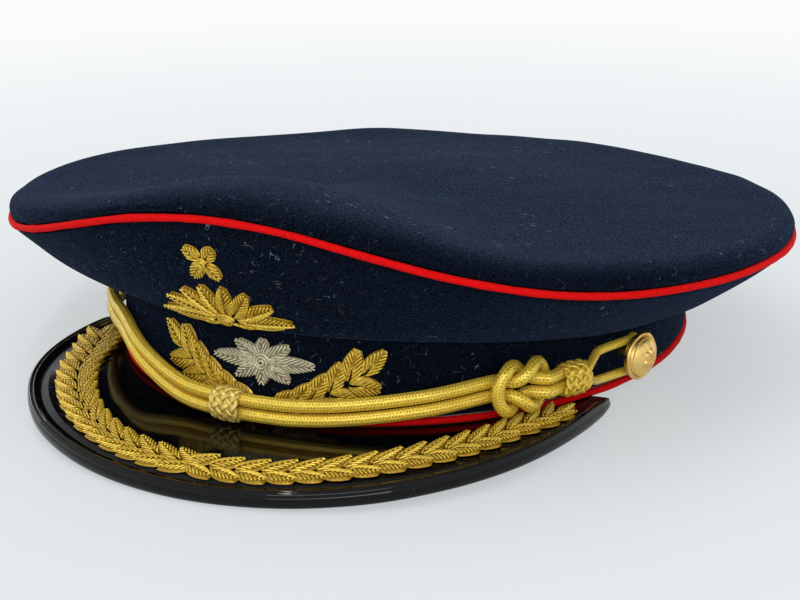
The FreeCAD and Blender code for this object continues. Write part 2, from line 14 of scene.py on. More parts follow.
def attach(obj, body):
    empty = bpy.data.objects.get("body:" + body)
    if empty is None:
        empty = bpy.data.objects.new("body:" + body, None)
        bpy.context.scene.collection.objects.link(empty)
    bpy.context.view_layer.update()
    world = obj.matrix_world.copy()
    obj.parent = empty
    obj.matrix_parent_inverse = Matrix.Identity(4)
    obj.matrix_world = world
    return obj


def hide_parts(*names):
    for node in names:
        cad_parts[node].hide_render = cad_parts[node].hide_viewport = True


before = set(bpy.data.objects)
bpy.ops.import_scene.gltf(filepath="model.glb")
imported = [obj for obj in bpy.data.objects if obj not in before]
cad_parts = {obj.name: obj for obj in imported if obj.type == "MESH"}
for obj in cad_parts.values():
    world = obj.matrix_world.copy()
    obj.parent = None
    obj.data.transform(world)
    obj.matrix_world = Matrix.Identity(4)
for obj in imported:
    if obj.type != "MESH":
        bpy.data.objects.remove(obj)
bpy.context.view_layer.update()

bl_info = {
    "name": "Peaked cap dressing",
    "version": (1, 0, 0),
    "blender": (4, 5, 0),
    "location": "View3D > Sidebar > Cap",
    "description": "Builds the cloth, visor, embroidery, cord and buttons of a peaked cap",
    "category": "Object",
}

MM = 0.001
TAU = 2 * math.pi

# Sizes that the solids share
LAYER_GAP = 0.3 * MM
RIM_MIDDLE = -8.3 * MM
RIM_FRONT_PEAK = 9.5
HEAD_HALF_WIDTH = 82.0 * MM
HEAD_HALF_LENGTH = 97.3 * MM
SWEATBAND_WALL = 1.2 * MM
SWEATBAND_TOP = 31.2 * MM
BAND_WALL = 1.7 * MM
BAND_FOOT = 2.7 * MM
QUARTER_BULGE = 6.0 * MM
FOLD_DEPTH = 7.0 * MM
ROLL_INSET = 10.9 * MM
ROLL_SIDE_INSET = 7.3 * MM
ROLL_SIDE_RISE = 0.6 * MM
ROLL_BULGE = 1.6 * MM
WIRE_INSET = 5.2 * MM
WADDING_ROOM = 0.65 * MM
LINING_DROP = 5.3 * MM
LINING_WALL = 0.8 * MM
STAND_SHIFT = (0.0, 18.5341 * MM, 3.8177 * MM)


def length(name, description, millimetres):
    """A length of the cap that a user may change."""
    return bpy.props.FloatProperty(name=name, description=description, default=millimetres * MM,
                                   min=0.0, unit="LENGTH", precision=4)


def linear(code):
    """An sRGB hex code as linear RGBA."""
    channels = [int(code[i:i + 2], 16) / 255 for i in (1, 3, 5)]
    return tuple(c / 12.92 if c <= 0.04045 else ((c + 0.055) / 1.055) ** 2.4 for c in channels) + (1.0,)


def colour(name, description, code):
    """A colour of the cap, kept as linear values for the picker."""
    return bpy.props.FloatVectorProperty(name=name, description=description, default=linear(code)[:3],
                                         size=3, min=0.0, max=1.0, subtype="COLOR")


class CapSizes(bpy.types.PropertyGroup):
    """Sizes of the cap's body."""
    lean: bpy.props.FloatProperty(name="Lean", description="Tip towards the visor on the table",
                                  default=math.radians(2.0679), subtype="ANGLE")
    band_half_width: length("Band half width", "Middle to the band's side", 88.35)
    band_half_length: length("Band half length", "Middle to the band's front", 103.65)
    band_height: length("Band height", "Height of the band's cloth", 34.0)
    rim_half_width: length("Rim half width", "Middle to the piped rim's side", 125.65)
    rim_half_length: length("Rim half length", "Middle to the piped rim's front", 120.3)
    rim_back_height: length("Rim back height", "Height of the rim at the back", 34.8)
    rim_front_height: length("Rim front height", "Height of the rim at the front", 66.0)
    rim_side_rise: length("Rim side rise", "Lift of the rim at the sides", 3.5)
    rim_front_swell: length("Rim front swell", "Lift of the rim between its front and sides", 6.2)
    rim_lean: length("Rim lean", "Lift of the wearer's left side", 3.0)
    piping_radius: length("Piping radius", "Radius of the red piping", 1.2)
    cloth_wall: length("Cloth wall", "Thickness of the crown's cloth", 2.2)
    fold_front: length("Front fold", "Height of the quarters' fold at the front", 27.5)
    fold_side: length("Side fold", "Height of the quarters' fold at the sides", 21.0)
    roll_front: length("Front roll", "Rise of the crown's padded edge at the front", 7.9)
    roll_back: length("Back roll", "Rise of the crown's padded edge at the back", 5.2)
    dish_height: length("Dish height", "Height of the crown's dished middle", 51.0)
    visor_half_width: length("Visor half width", "Middle to the visor's side", 88.5)
    visor_reach: length("Visor reach", "Band to the visor's front edge", 47.4)
    visor_drop: length("Visor drop", "Fall of the visor's front edge", 5.5)
    leaf_length: length("Leaf length", "Length of a leaf on the visor", 13.0)
    leaf_width: length("Leaf width", "Width of a leaf on the visor", 6.8)
    cord_radius: length("Cord radius", "Radius of the chin cord", 2.0)
    button_radius: length("Button radius", "Radius of a side button", 7.4)


class CapColours(bpy.types.PropertyGroup):
    """Main colours of the cap and its stage."""
    cloth: colour("Cloth", "Wool of the crown and band", "#070d18")
    lint: colour("Lint", "Stray fibres on the wool", "#9fabb8")
    piping: colour("Piping", "Felt-covered piping", "#e20a0c")
    gold: colour("Gold thread", "Bullion and braided cord", "#fdd54c")
    silver: colour("Silver thread", "Bullion of the star", "#e9e2c0")
    brass: colour("Brass", "Gilt buttons", "#f4ce7c")
    leather: colour("Leather", "Sweatband", "#7a5433")
    lining: colour("Lining", "Satin in the crown", "#b79f78")
    floor: colour("Floor", "Studio floor", "#cdd2d4")


class Chosen:
    """The sizes that the panel holds."""

    def __getattr__(self, name):
        return getattr(bpy.context.scene.cap_sizes, name)


S = Chosen()


# Curves and points, in the level frame

def mix(first, second, share):
    return first + (second - first) * share


def smooth(value, low, high):
    """0 below low, 1 above high and an even curve between them."""
    share = np.clip((value - low) / (high - low), 0, 1)
    return share * share * (3 - 2 * share)


def points_of(x, y, z):
    return np.stack(np.broadcast_arrays(x, y, z), axis=-1).astype(float)


def unit(vectors):
    return vectors / np.maximum(np.linalg.norm(vectors, axis=-1, keepdims=True), 1e-12)


def run_of(line):
    """Distance along a line at each of its points."""
    return np.append(0, np.cumsum(np.linalg.norm(np.diff(line, axis=0), axis=1)))


def oval(angle, half_width, half_length, height):
    """Points on an upright oval; angles go from the front towards the wearer's left."""
    turn = np.radians(angle)
    return points_of(half_width * np.sin(turn), -half_length * np.cos(turn), height)


def band_point(angle, height, offset=0.0):
    return oval(angle, S.band_half_width + offset, S.band_half_length + offset, height)


def outward(angle, half_width, half_length):
    """The way out of an oval."""
    return unit(oval(angle, 1 / half_width, 1 / half_length, 0))


def head_point(angle, height, offset, share=1.0):
    return oval(angle, (HEAD_HALF_WIDTH + offset) * share, (HEAD_HALF_LENGTH + offset) * share, height)


def rim_point(angle):
    """The piped rim: high at the front and lowest at the back."""
    turn = np.radians(angle)
    peak = ((1 + np.cos(turn)) / 2) ** RIM_FRONT_PEAK
    side = (S.rim_side_rise + S.rim_front_swell * np.cos(turn)) * np.sin(turn) ** 2
    height = mix(S.rim_back_height, S.rim_front_height, peak) + side + S.rim_lean * np.sin(turn)
    return oval(angle, S.rim_half_width, S.rim_half_length, height) + points_of(0, RIM_MIDDLE, 0)


def inward(angle):
    """The plan direction from the rim towards the middle of the crown."""
    rim = rim_point(angle)
    return unit(points_of(-rim[..., 0], RIM_MIDDLE - rim[..., 1], 0))


def standing(points):
    """Level points moved to where the cap stands on the table."""
    c, s = math.cos(S.lean), math.sin(S.lean)
    x, y, z = points[..., 0], points[..., 1], points[..., 2]
    return points_of(x, y * c + z * s, z * c - y * s) + np.array(STAND_SHIFT)


def ripple(points, size, seed):
    """A soft pseudo-random field from -1 to 1 with waves of about one size, in millimetres."""
    draw = np.random.default_rng(seed)
    total = 0
    for _ in range(9):
        way = unit(draw.normal(size=3))
        wave = TAU / (size * MM * draw.uniform(0.7, 1.6))
        total = total + np.sin(points @ way * wave + draw.uniform(0, 6.28))
    return total / 4


def spline(control, count, closed=False):
    """A smooth line of count points, evenly spaced, through the control points."""
    control = np.asarray(control, float)
    if closed:
        padded = np.vstack([control[-1:], control, control[:2]])
    else:
        padded = np.vstack([2 * control[0] - control[1], control, 2 * control[-1] - control[-2]])
    spans = len(padded) - 3
    place = np.linspace(0, spans, spans * 24 + 1)
    i = np.minimum(place.astype(int), spans - 1)
    t = (place - i)[:, None]
    a, b, c, d = (padded[i + k] for k in range(4))
    dense = 0.5 * (2 * b + (c - a) * t + (2 * a - 5 * b + 4 * c - d) * t**2
                   + (3 * b - a - 3 * c + d) * t**3)
    run = run_of(dense[:, :3])
    even = np.linspace(0, run[-1], count)
    return np.stack([np.interp(even, run, column) for column in dense.T], axis=1)


# Meshes

def meshed(bm):
    """A mesh from a bmesh, which is then freed."""
    mesh = bpy.data.meshes.new("mesh")
    bm.to_mesh(mesh)
    bm.free()
    return mesh


def read(mesh):
    flat = np.empty(len(mesh.vertices) * 3)
    mesh.vertices.foreach_get("co", flat)
    return flat.reshape(-1, 3)


def write(mesh, points, stand=True):
    mesh.vertices.foreach_set("co", (standing(points) if stand else points).ravel())


def write_uv(mesh, values):
    """One UV for each vertex, copied to its corners."""
    corner = np.empty(len(mesh.loops), dtype=int)
    mesh.loops.foreach_get("vertex_index", corner)
    layer = mesh.uv_layers.get("UVMap") or mesh.uv_layers.new(name="UVMap")
    layer.data.foreach_set("uv", values[corner].ravel())


def cleaned(mesh, sharp):
    """Seams and poles closed, faces outwards and shaded smooth between its sharp edges."""
    bm = bmesh.new()
    bm.from_mesh(mesh)
    bmesh.ops.remove_doubles(bm, verts=bm.verts, dist=0.002 * MM)
    bmesh.ops.dissolve_degenerate(bm, edges=bm.edges, dist=0.001 * MM)
    bmesh.ops.recalc_face_normals(bm, faces=bm.faces)
    bm.to_mesh(mesh)
    bm.free()
    return shaded(mesh, sharp)


def shaded(mesh, sharp):
    mesh.shade_smooth()
    mesh.set_sharp_from_angle(angle=math.radians(sharp))
    return mesh


def patch(columns, rows, place, tile=(1.0, 1.0), sharp=35, stand=True):
    """A grid whose point (u, v), each from 0 to 1, moves to place(u, v).

    Its UV is tile wide, or tile(u, v).
    """
    bm = bmesh.new()
    bmesh.ops.create_grid(bm, x_segments=columns, y_segments=rows, size=0.5)
    mesh = meshed(bm)
    share = np.round(read(mesh)[:, :2] + 0.5, 6)
    write_uv(mesh, tile(*share.T) if callable(tile) else share * np.array(tile))
    write(mesh, place(*share.T), stand)
    return cleaned(mesh, sharp)


def joined(meshes):
    bm = bmesh.new()
    for mesh in meshes:
        bm.from_mesh(mesh)
    return meshed(bm)


def placed(name, data):
    data.name = name
    made = bpy.data.objects.new(name, data)
    bpy.context.scene.collection.objects.link(made)
    return made


def piece(name, mesh, finishes, body="root", node=None):
    """A finished piece that rides on a body and takes the place of a CAD node, which has its name
    unless node says otherwise. It takes a finish, or one for each of its parts."""
    made = placed(name, mesh)
    mesh.materials.clear()
    for each in finishes if isinstance(finishes, tuple) else (finishes,):
        mesh.materials.append(each)
    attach(made, body)
    if node != "":
        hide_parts(node or name.lower())
    return made


def refinish(node, made):
    """A carried-over solid takes a finish."""
    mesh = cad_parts[node].data
    mesh.materials.clear()
    mesh.materials.append(made)


def nearest(share, count):
    """The number of the point at a share of the way round a ring of count points."""
    return np.round(share * count).astype(int) % count


def neighbours(line):
    """Directions along a closed line."""
    return unit(np.roll(line, -1, axis=0) - np.roll(line, 1, axis=0))


def pipe(line, radius, sides, closed=True, tile=(1.0, 1.0), relief=None):
    """A tube along a line of points round the head; relief(u, v) lowers its skin."""
    count = len(line)
    rings = count if closed else count - 1
    radius = np.broadcast_to(radius, (count,))
    ahead = neighbours(line) if closed else unit(np.gradient(line, axis=0))
    up = unit(np.cross(ahead, line * np.array([1, 1, 0])))
    out = np.cross(up, ahead)

    def place(u, v):
        i = nearest(v, rings) if closed else np.round(v * rings).astype(int)
        reach = radius[i] - (relief(u, v) if relief else 0)
        if not closed:
            reach = reach * np.where((i == 0) | (i == count - 1), 0, 1)
        return (line[i] + out[i] * (reach * np.cos(TAU * u))[:, None]
                + up[i] * (reach * np.sin(TAU * u))[:, None])
    return patch(sides, rings, place, tile, sharp=60)


def threads(paths, normals, radius, sides=6, rings=6, blunt=0.12):
    """Short rounded threads: paths and normals hold each one's points and its up directions."""
    paths, normals = np.asarray(paths), np.asarray(normals)

    def rod(u, v):
        reach = np.sqrt(1 - (1 - np.clip(np.minimum(v, 1 - v) / blunt, 0, 1)) ** 2)
        return points_of(np.cos(TAU * u) * reach, np.sin(TAU * u) * reach, v)
    one = patch(sides, rings, rod, stand=False)
    shape = read(one)
    mesh = joined([one] * len(paths))
    at = np.clip(shape[:, 2], 0, 1) * (paths.shape[1] - 1)
    low = np.minimum(at.astype(int), paths.shape[1] - 2)
    middle, way, lift = (mix(values[:, low], values[:, low + 1], (at - low)[None, :, None])
                         for values in (paths, unit(np.gradient(paths, axis=1)), normals))
    way = unit(way)
    side = unit(np.cross(way, unit(lift)))
    write(mesh, middle + (side * shape[:, 0, None] + np.cross(side, way) * shape[:, 1, None]) * radius)
    # a thread's UV is whole along its top and half past whole underneath
    turn = np.arctan2(shape[:, 1], shape[:, 0]) / TAU - 0.25
    span = np.linalg.norm(np.diff(paths, axis=1), axis=2).sum(axis=1) / MM
    number = np.arange(len(paths))
    values = np.stack([number[:, None] + 0.98 * turn, span[:, None] * shape[:, 2]], axis=-1)
    write_uv(mesh, values.reshape(-1, 2))
    mesh.shade_smooth()
    return mesh


# Finishes

SOFT = {"interpolation_type": "SMOOTHSTEP"}


def add(tree, kind, sockets=(), out=0, **settings):
    """A node with its settings and its sockets' values or sources; gives one of its outputs."""
    made = tree.nodes.new("ShaderNode" + kind)
    for key, value in settings.items():
        setattr(made, key, value)
    for socket, value in sockets.items() if isinstance(sockets, dict) else enumerate(sockets):
        put(tree, made.inputs[socket], value)
    return made.outputs[out]


def put(tree, socket, value):
    """A value or a source on a socket."""
    if isinstance(value, bpy.types.NodeSocket):
        tree.links.new(value, socket)
    else:
        socket.default_value = value


def tint(base, share):
    """A darker or lighter version of a linear colour."""
    return tuple(min(c * share, 1.0) for c in base[:3]) + (1.0,)


def held(name):
    return tuple(getattr(bpy.context.scene.cap_colours, name)) + (1.0,)


class Finish:
    """A material in the making. Its shade starts as the base colour and takes one tone after another."""

    def __init__(self, name, base, **values):
        self.material = bpy.data.materials.new(name)
        self.material.use_nodes = True
        self.tree = self.material.node_tree
        self.add = partial(add, self.tree)
        self.base = self.shade = base
        self.set(Base_Color=base, **values)

    def set(self, **values):
        shader = self.tree.nodes["Principled BSDF"]
        for socket, value in values.items():
            put(self.tree, shader.inputs[socket.replace("_", " ")], value)

    def cloud(self, size, detail=2.0, rough=0.5, scale=(1, 1, 1)):
        """A cloudy field fixed to the piece, with features about size millimetres across."""
        space = self.add("Mapping", {"Vector": self.add("TexCoord", out="Object"), "Scale": scale})
        return self.add("TexNoise", {"Vector": space, "Scale": 1 / (size * MM), "Detail": detail,
                                     "Roughness": rough})

    def tone(self, to, field, low=None, high=None, most=1.0):
        """The shade turns to a colour, or to a share of its base, as a field climbs from low to high.

        Without low and high the field itself says by how much.
        """
        if low is not None:
            field = self.add("MapRange", (field, low, high, 0.0, most), **SOFT)
        colours = {6: self.shade, 7: to if isinstance(to, tuple) else tint(self.base, to)}
        self.shade = self.add("Mix", {0: field, **colours}, 2, data_type="RGBA")

    def done(self, height, depth, strength, **sockets):
        """The material, with its shade, its relief in millimetres and its other fields."""
        relief = {"Height": height, "Distance": depth * MM, "Strength": strength}
        self.set(Base_Color=self.shade, Normal=self.add("Bump", relief), **sockets)
        return self.material


def wool():
    """Milled wool: a short felted nap that scatters light at its edges and holds pale lint."""
    it = Finish("wool_doeskin", held("cloth"), Roughness=0.92, Sheen_Roughness=0.45,
                Sheen_Tint=linear("#6d90cc"), Specular_IOR_Level=0.03)
    nap = it.cloud(0.55, 3.0, 0.7)
    it.shade = tint(it.base, 0.2)
    it.tone(1.9, nap, 0.36, 0.66)
    it.tone(1.5, it.cloud(26), 0.35, 0.7, 0.35)
    patches = it.add("MapRange", (it.cloud(34, 1.0), 0.42, 0.66, 0.15, 0.9), **SOFT)
    flecks = it.add("MapRange", (it.cloud(0.5, 1.0), 0.74, 0.82), **SOFT)
    middle = it.add("Math", (it.cloud(3.4, 2.0, 0.4), -0.5), operation="ADD")
    away = it.add("Math", (middle,), operation="ABSOLUTE")
    strands = it.add("MapRange", (away, 0.003, 0.011, 1.0, 0.0), **SOFT)
    breaks = it.add("MapRange", (it.cloud(3, 1.0), 0.58, 0.64), **SOFT)
    curls = it.add("Math", (strands, breaks), operation="MULTIPLY")
    fibres = it.add("Math", (flecks, curls), operation="MAXIMUM")
    lint = it.add("Math", (fibres, patches), operation="MULTIPLY")
    faint = it.add("Math", (lint, 0.55), operation="MULTIPLY")
    it.tone(held("lint"), faint)
    return it.done(nap, 0.3, 0.9, Sheen_Weight=it.add("MapRange", (nap, 0.37, 0.64, 0.0, 0.28), **SOFT))


def red_felt():
    """Felt wrapped over a cord: a dense fuzzy red, paler and darker with its nap."""
    it = Finish("red_piping_felt", held("piping"), Roughness=0.85, Sheen_Weight=0.06,
                Sheen_Tint=linear("#ff5a4a"), Specular_IOR_Level=0.1)
    nap = it.cloud(0.4, 3.0, 0.7)
    it.shade = tint(it.base, 0.62)
    it.tone(1.25, nap, 0.3, 0.75)
    return it.done(nap, 0.16, 0.7)


def patent(name="patent_leather", wave=0.6, rough=0.09, shine=0.16, border=False):
    """Lacquered leather: a deep black mirror that ripples a little, with dust caught on it.

    Its UV on the visor holds the distance from the edge in millimetres, and a duller border runs there.
    """
    it = Finish(name, linear("#050608"), Specular_IOR_Level=shine)
    dust = it.cloud(0.55, 1.0, 0.4)
    it.tone(linear("#565a5e"), dust, 0.77, 0.8)
    gloss = it.add("MapRange", (dust, 0.7, 0.8, rough, 0.6), **SOFT)
    height = it.add("Math", (it.cloud(4), 0.08, it.cloud(22, 1.5, 0.45)), operation="MULTIPLY_ADD")
    if border:
        away = it.add("SeparateXYZ", (it.add("TexCoord", out="UV"),), "Y")
        inside = it.add("MapRange", (away, 6.9, 7.2, 1.0, 0.0), **SOFT)
        share = it.add("Math", (inside, 0.9), operation="MULTIPLY")
        it.tone(linear("#181d23"), share)
        gloss = it.add("Math", (inside, 0.28, gloss), operation="MULTIPLY_ADD")
        lines = it.add("Math", (away, 0.35), operation="PINGPONG")
        lines = it.add("Math", (lines, inside), operation="MULTIPLY")
        height = it.add("Math", (lines, 0.9, height), operation="MULTIPLY_ADD")
    return it.done(height, 0.35, wave, Roughness=gloss)


def thread_metal(name, base, rough=0.26, metal=0.35):
    """Gold or silver wire wound on a core: bright turns with painted shade in the grooves between them and
    on each thread's flanks, painted glints, and each thread a little lighter or darker.
    """
    it = Finish(name, base, Metallic=metal)
    across, along = (it.add("SeparateXYZ", (it.add("TexCoord", out="UV"),), axis) for axis in "XY")
    # the wire is 0.15 mm thick, drawn twice as coarse so that its turns show
    pitch = it.add("Math", (along, 0.32), operation="DIVIDE")
    slant = it.add("Math", (across, 0.6, pitch), operation="MULTIPLY_ADD")
    turns = it.add("Math", (slant, 0.5), operation="PINGPONG")
    number = it.add("Math", (across,), operation="ROUND")
    flank = it.add("Math", (across, 0.5), operation="PINGPONG")
    glint = it.cloud(0.7)
    # painted shade: the grooves between the wire's turns are drawn darker
    it.shade = tint(base, 0.62)
    it.tone(1, turns, 0.0, 0.16)
    it.tone(0.5, it.add("TexWhiteNoise", {"W": number}, noise_dimensions="1D"), 0.0, 1.0, 0.5)
    it.tone(0.6, it.cloud(5), 0.4, 0.72, 0.3)
    # painted highlight: glints lighten the wire's colour
    it.tone(1.6, glint, 0.55, 0.72, 0.7)
    # painted shade: each thread's flanks turn dark amber while its top stays bright
    it.tone(tuple(0.45 * c**1.4 for c in base[:3]) + (1.0,), flank, 0.13, 0.26)
    return it.done(it.add("Math", (turns, glint), operation="ADD"), 0.12, 0.6,
                   Roughness=it.add("MapRange", (glint, 0.3, 0.7, rough - 0.08, rough + 0.16), **SOFT))


def padding(name, base):
    """The felt under an embroidered leaf, coloured nearly black as painted shade for the shadowed thread
    sides and the gaps between the threads.
    """
    it = Finish(name, base, Roughness=0.8)
    grain = it.cloud(0.6)
    # painted shade: the pads are nearly black so that the gaps between threads read as shadowed
    it.shade = tint(base, 0.02)
    it.tone(0.08, grain, 0.35, 0.7)
    return it.done(grain, 0.1, 0.6)


def braid():
    """Braided metallised thread: ten plaits lean one way and the other, with painted shade where they dip
    and painted glints here and there.
    """
    it = Finish("gold_braid", held("gold"), Metallic=0.3, Roughness=0.27)
    across, along = (it.add("SeparateXYZ", (it.add("TexCoord", out="UV"),), axis) for axis in "XY")
    column = it.add("Math", (across, PLAITS), operation="MULTIPLY")
    lean = it.add("Math", (column, 1.0), operation="PINGPONG")
    slant = it.add("Math", (lean, PLAIT_LEAN, along), operation="MULTIPLY_ADD")
    stitch = it.add("Math", (slant, 0.5), operation="PINGPONG")
    between = it.add("Math", (column, 0.5), operation="PINGPONG")
    stitch = it.add("MapRange", (stitch, 0.0, 0.16), **SOFT)
    between = it.add("MapRange", (between, 0.0, 0.12, 0.4, 1.0), **SOFT)
    glint = it.cloud(0.4, 1.0)
    # painted shade: a dark brown where the stitches and plaits dip, turning to the gold on their crowns
    it.shade = linear("#5e3f0c")
    it.tone(1, it.add("Math", (stitch, between), operation="MULTIPLY"))
    # painted highlight: glints lighten the gold
    it.tone(1.5, glint, 0.52, 0.7, 0.6)
    it.tone(0.6, it.cloud(7), 0.45, 0.72, 0.25)
    fine = it.add("Math", (along, 4.0), operation="MULTIPLY")
    fibres = it.add("Math", (fine, 0.5), operation="PINGPONG")
    return it.done(it.add("Math", (fibres, glint), operation="ADD"), 0.05, 0.5)


def gilt_brass(name="gilt_brass", worn=0.5):
    """Pressed brass with a thin gilding, rubbed duller and browner in random patches."""
    it = Finish(name, held("brass"), Metallic=1.0)
    haze = it.cloud(3.5, 3.0)
    it.tone(0.5, haze, 0.38, 0.7, worn)
    gloss = it.add("MapRange", (haze, 0.3, 0.7, 0.24, 0.46), **SOFT)
    return it.done(it.cloud(0.35), 0.02, 0.4, Roughness=gloss)


def grained_leather(name, base, pore, rough=0.5, depth=0.12):
    """Tanned leather: pebbled cells with painted shade in the creases between them and a low oily gloss."""
    it = Finish(name, base, Specular_IOR_Level=0.4)
    cells = it.add("TexVoronoi", {"Vector": it.add("TexCoord", out="Object"), "Scale": 1 / (pore * MM)},
                   "Distance", feature="DISTANCE_TO_EDGE")
    crease = it.add("MapRange", (cells, 0.0, 0.25), **SOFT)
    cloud = it.cloud(14, 3.0)
    # painted shade: the creases between the cells are darker
    it.shade = tint(base, 0.55)
    it.tone(1, crease)
    it.tone(0.68, cloud, 0.35, 0.7, 0.5)
    return it.done(crease, depth, 0.7,
                   Roughness=it.add("MapRange", (cloud, 0.3, 0.7, rough - 0.1, rough + 0.12), **SOFT))


def satin():
    """Lining satin: long floats one way, with lighter streaks painted along them as a soft painted sheen.
    """
    it = Finish("lining_satin", held("lining"), Roughness=0.42, Specular_IOR_Level=0.5, Sheen_Weight=0.25)
    floats = it.cloud(0.5, scale=(1.0, 0.12, 1.0))
    # painted sheen: lighter streaks along the floats
    it.shade = tint(it.base, 0.8)
    it.tone(1.12, floats, 0.3, 0.7)
    it.tone(0.75, it.cloud(18), 0.4, 0.7, 0.3)
    return it.done(floats, 0.05, 0.6)


def plain_finish(name, code, grain, metallic=0.0, rough=0.5, depth=0.05):
    """A hidden part's finish: a mottled surface with a fine grain."""
    it = Finish(name, linear(code), Metallic=metallic)
    fine, cloud = it.cloud(grain, 3.0, 0.6), it.cloud(12 * grain)
    it.shade = tint(it.base, 0.78)
    it.tone(1.12, fine, 0.3, 0.7)
    it.tone(0.7, cloud, 0.4, 0.7, 0.35)
    gloss = (cloud, 0.3, 0.7, max(rough - 0.1, 0.05), min(rough + 0.1, 1))
    return it.done(fine, depth, 0.5, Roughness=it.add("MapRange", gloss, **SOFT))


# Cloth

def ring_section(share, corners):
    """Skin, from 0 outside to 1 inside, and height share along a band of cloth's section."""
    marks, skin, rise = zip(*corners)
    return np.interp(share, marks, skin), np.interp(share, marks, rise)


def cloth_band():
    """The band's cloth, turned under at its foot and sewn up the back."""
    corners = ((0, 0, 0.02), (0.03, 0, 0.04), (0.5, 0, 0.97), (0.54, 0.3, 1.0), (0.58, 0.7, 1.0),
               (0.62, 1, 0.97), (0.95, 1, 0.04), (0.97, 0.7, 0.0), (0.985, 0.3, 0.0), (1, 0, 0.02))

    def place(u, v):
        angle = 360 * u
        skin, rise = ring_section(v, corners)
        height = mix(BAND_FOOT, S.band_height, rise)
        puff = ripple(band_point(angle, height), 40, 3) * 0.12 * MM
        seam = 0.5 * MM * np.exp(-((angle - 180) / 0.5) ** 2) * (1 - skin)
        return band_point(angle, height, puff * (1 - skin) - BAND_WALL * skin - seam)
    return patch(480, 60, place)


def bezier(a, b, c, d, t):
    s = 1 - t
    return a * s**3 + 3 * b * s * s * t + 3 * c * s * t * t + d * t**3


def quarter_point(angle, t, inner=0.0):
    """A quarter's face at share t from the band to the rim; inner is 1 on its lining side."""
    foot, rim = band_point(angle, 0), rim_point(angle)
    way = rim - foot
    rise = rim[..., 2]
    way[..., 2] = 0
    reach = np.linalg.norm(way, axis=-1)
    way = unit(way)
    fold = mix(S.fold_front, S.fold_side, smooth(np.minimum(abs(angle), 360 - abs(angle)), 25, 85))
    slant = np.hypot(rise - fold, reach)
    nx, nz = (rise - fold) / slant, -reach / slant
    push = QUARTER_BULGE - inner * 2 * S.cloth_wall
    xs = (0.3 * MM, mix(0.6 * MM, 2 * S.cloth_wall, inner), reach / 2 + nx * push,
          reach - LAYER_GAP - inner * S.cloth_wall)
    zs = (mix(fold + S.cloth_wall, S.band_height, inner),
          mix(fold - FOLD_DEPTH, mix(fold, S.band_height, 0.4), inner), (fold + rise) / 2 + nz * push,
          rise - S.piping_radius - LAYER_GAP)
    x, z = bezier(*xs, t), bezier(*zs, t)
    return foot + way * x[..., None] + points_of(0, 0, z)


def quarter(first, last):
    """One cloth quarter between its seams; its edges roll in to the seam allowance."""
    corners = ((0, 0, 0), (0.6, 0, 1), (0.64, 1, 1), (0.97, 1, 0), (1, 0, 0))

    def place(u, v):
        angle = mix(first, last, u)
        skin, t = ring_section(v, corners)
        outer, inner = quarter_point(angle, t), quarter_point(angle, t, 1.0)
        body = np.sin(np.pi * np.clip(t, 0, 1))
        waves = ripple(outer, 34, 11) * 0.5 * MM + ripple(outer, 15, 12) * 0.12 * MM
        edge = np.minimum(angle - first, last - angle) * math.pi / 180 * S.rim_half_width
        tuck = 0.12 * MM * np.exp(-(edge / (0.6 * MM)) ** 2)
        shift = (waves * body - tuck * np.minimum(body * 4, 1)) * (1 - skin)
        return mix(outer, inner, skin[..., None]) + unit(outer - inner) * shift[..., None]
    return patch(130, 56, place)


def side_share(angle):
    """0 at the front and the back of the crown and 1 at its sides."""
    return smooth(abs(np.sin(np.radians(angle))), 0.3, 0.95)


def roll_depth(angle):
    """How far inside the rim the crest of the padded edge lies."""
    return mix(ROLL_INSET, ROLL_SIDE_INSET, side_share(angle))


def roll_height(angle):
    """How high the crest of the padded edge stands above the rim."""
    back = (1 - np.cos(np.radians(angle))) / 2
    return mix(S.roll_front, S.roll_back, back) + ROLL_SIDE_RISE * side_share(angle)


def top_point(angle, share, skin):
    """The crown top: share 0 to 1 climbs its rolled edge and 1 to 2 crosses the dish."""
    rim, way, inset = rim_point(angle), inward(angle), roll_depth(angle)
    turn = np.minimum(share, 1) * math.pi / 2
    step = inset * (1 - np.cos(turn)) - ROLL_BULGE * np.sin(2 * turn) + skin
    base = S.piping_radius + LAYER_GAP
    rise = base + (roll_height(angle) - base - skin) * np.sin(turn)
    edge = rim + way * step[..., None] + points_of(0, 0, rise)
    ridge = rim + way * (inset + skin)[..., None]
    out = 2 - np.maximum(share, 1)
    height = mix(S.dish_height, rim[..., 2] + roll_height(angle), 2 * out**2 - out**4) - skin
    dish = points_of(ridge[..., 0] * out, mix(RIM_MIDDLE, ridge[..., 1], out), height)
    return np.where((share <= 1)[..., None], edge, dish)


def crown_top():
    """The top cloth: padded over its edge, with soft hollows where it has settled."""
    def place(u, v):
        outer, inner = np.interp(v, (0, 0.2, 0.55), (2, 1, 0)), np.interp(v, (0.57, 0.8, 1), (0, 1, 2))
        share = np.where(v <= 0.55, outer, inner)
        points = top_point(360 * u, share, np.interp(v, (0.55, 0.57), (0, 1)) * S.cloth_wall)
        waves = (ripple(points, 60, 21) * 0.9 + ripple(points, 22, 22) * 0.18) * MM
        points[..., 2] += waves * smooth(share, 0.05, 0.5)
        return points
    return patch(420, 190, place)


def piping(function, seed):
    """Felt drawn over a cord and sewn into a seam."""
    line = function(np.linspace(0, 360, 720, endpoint=False))
    wander = points_of(*(ripple(line, 30, seed + k) for k in range(3))) * 0.12 * MM
    return pipe(line + wander, S.piping_radius * (0.93 + 0.05 * ripple(line, 8, seed + 3)), 14)


def band_piping_point(angle):
    return band_point(angle, S.piping_radius, -S.piping_radius / 2)


def wadding():
    """The roll of cotton wadding inside the crown's edge, lumpy and soft."""
    angles = np.linspace(0, 360, 360, endpoint=False)
    inset = (WIRE_INSET + roll_depth(angles) + S.cloth_wall) / 2
    middle = (roll_height(angles) - S.cloth_wall) / 2
    line = rim_point(angles) + inward(angles) * inset[:, None] + points_of(0, 0, middle)
    return pipe(line, (middle - WADDING_ROOM) * (1 + 0.025 * ripple(line, 12, 61)), 18)


# Inside the cap

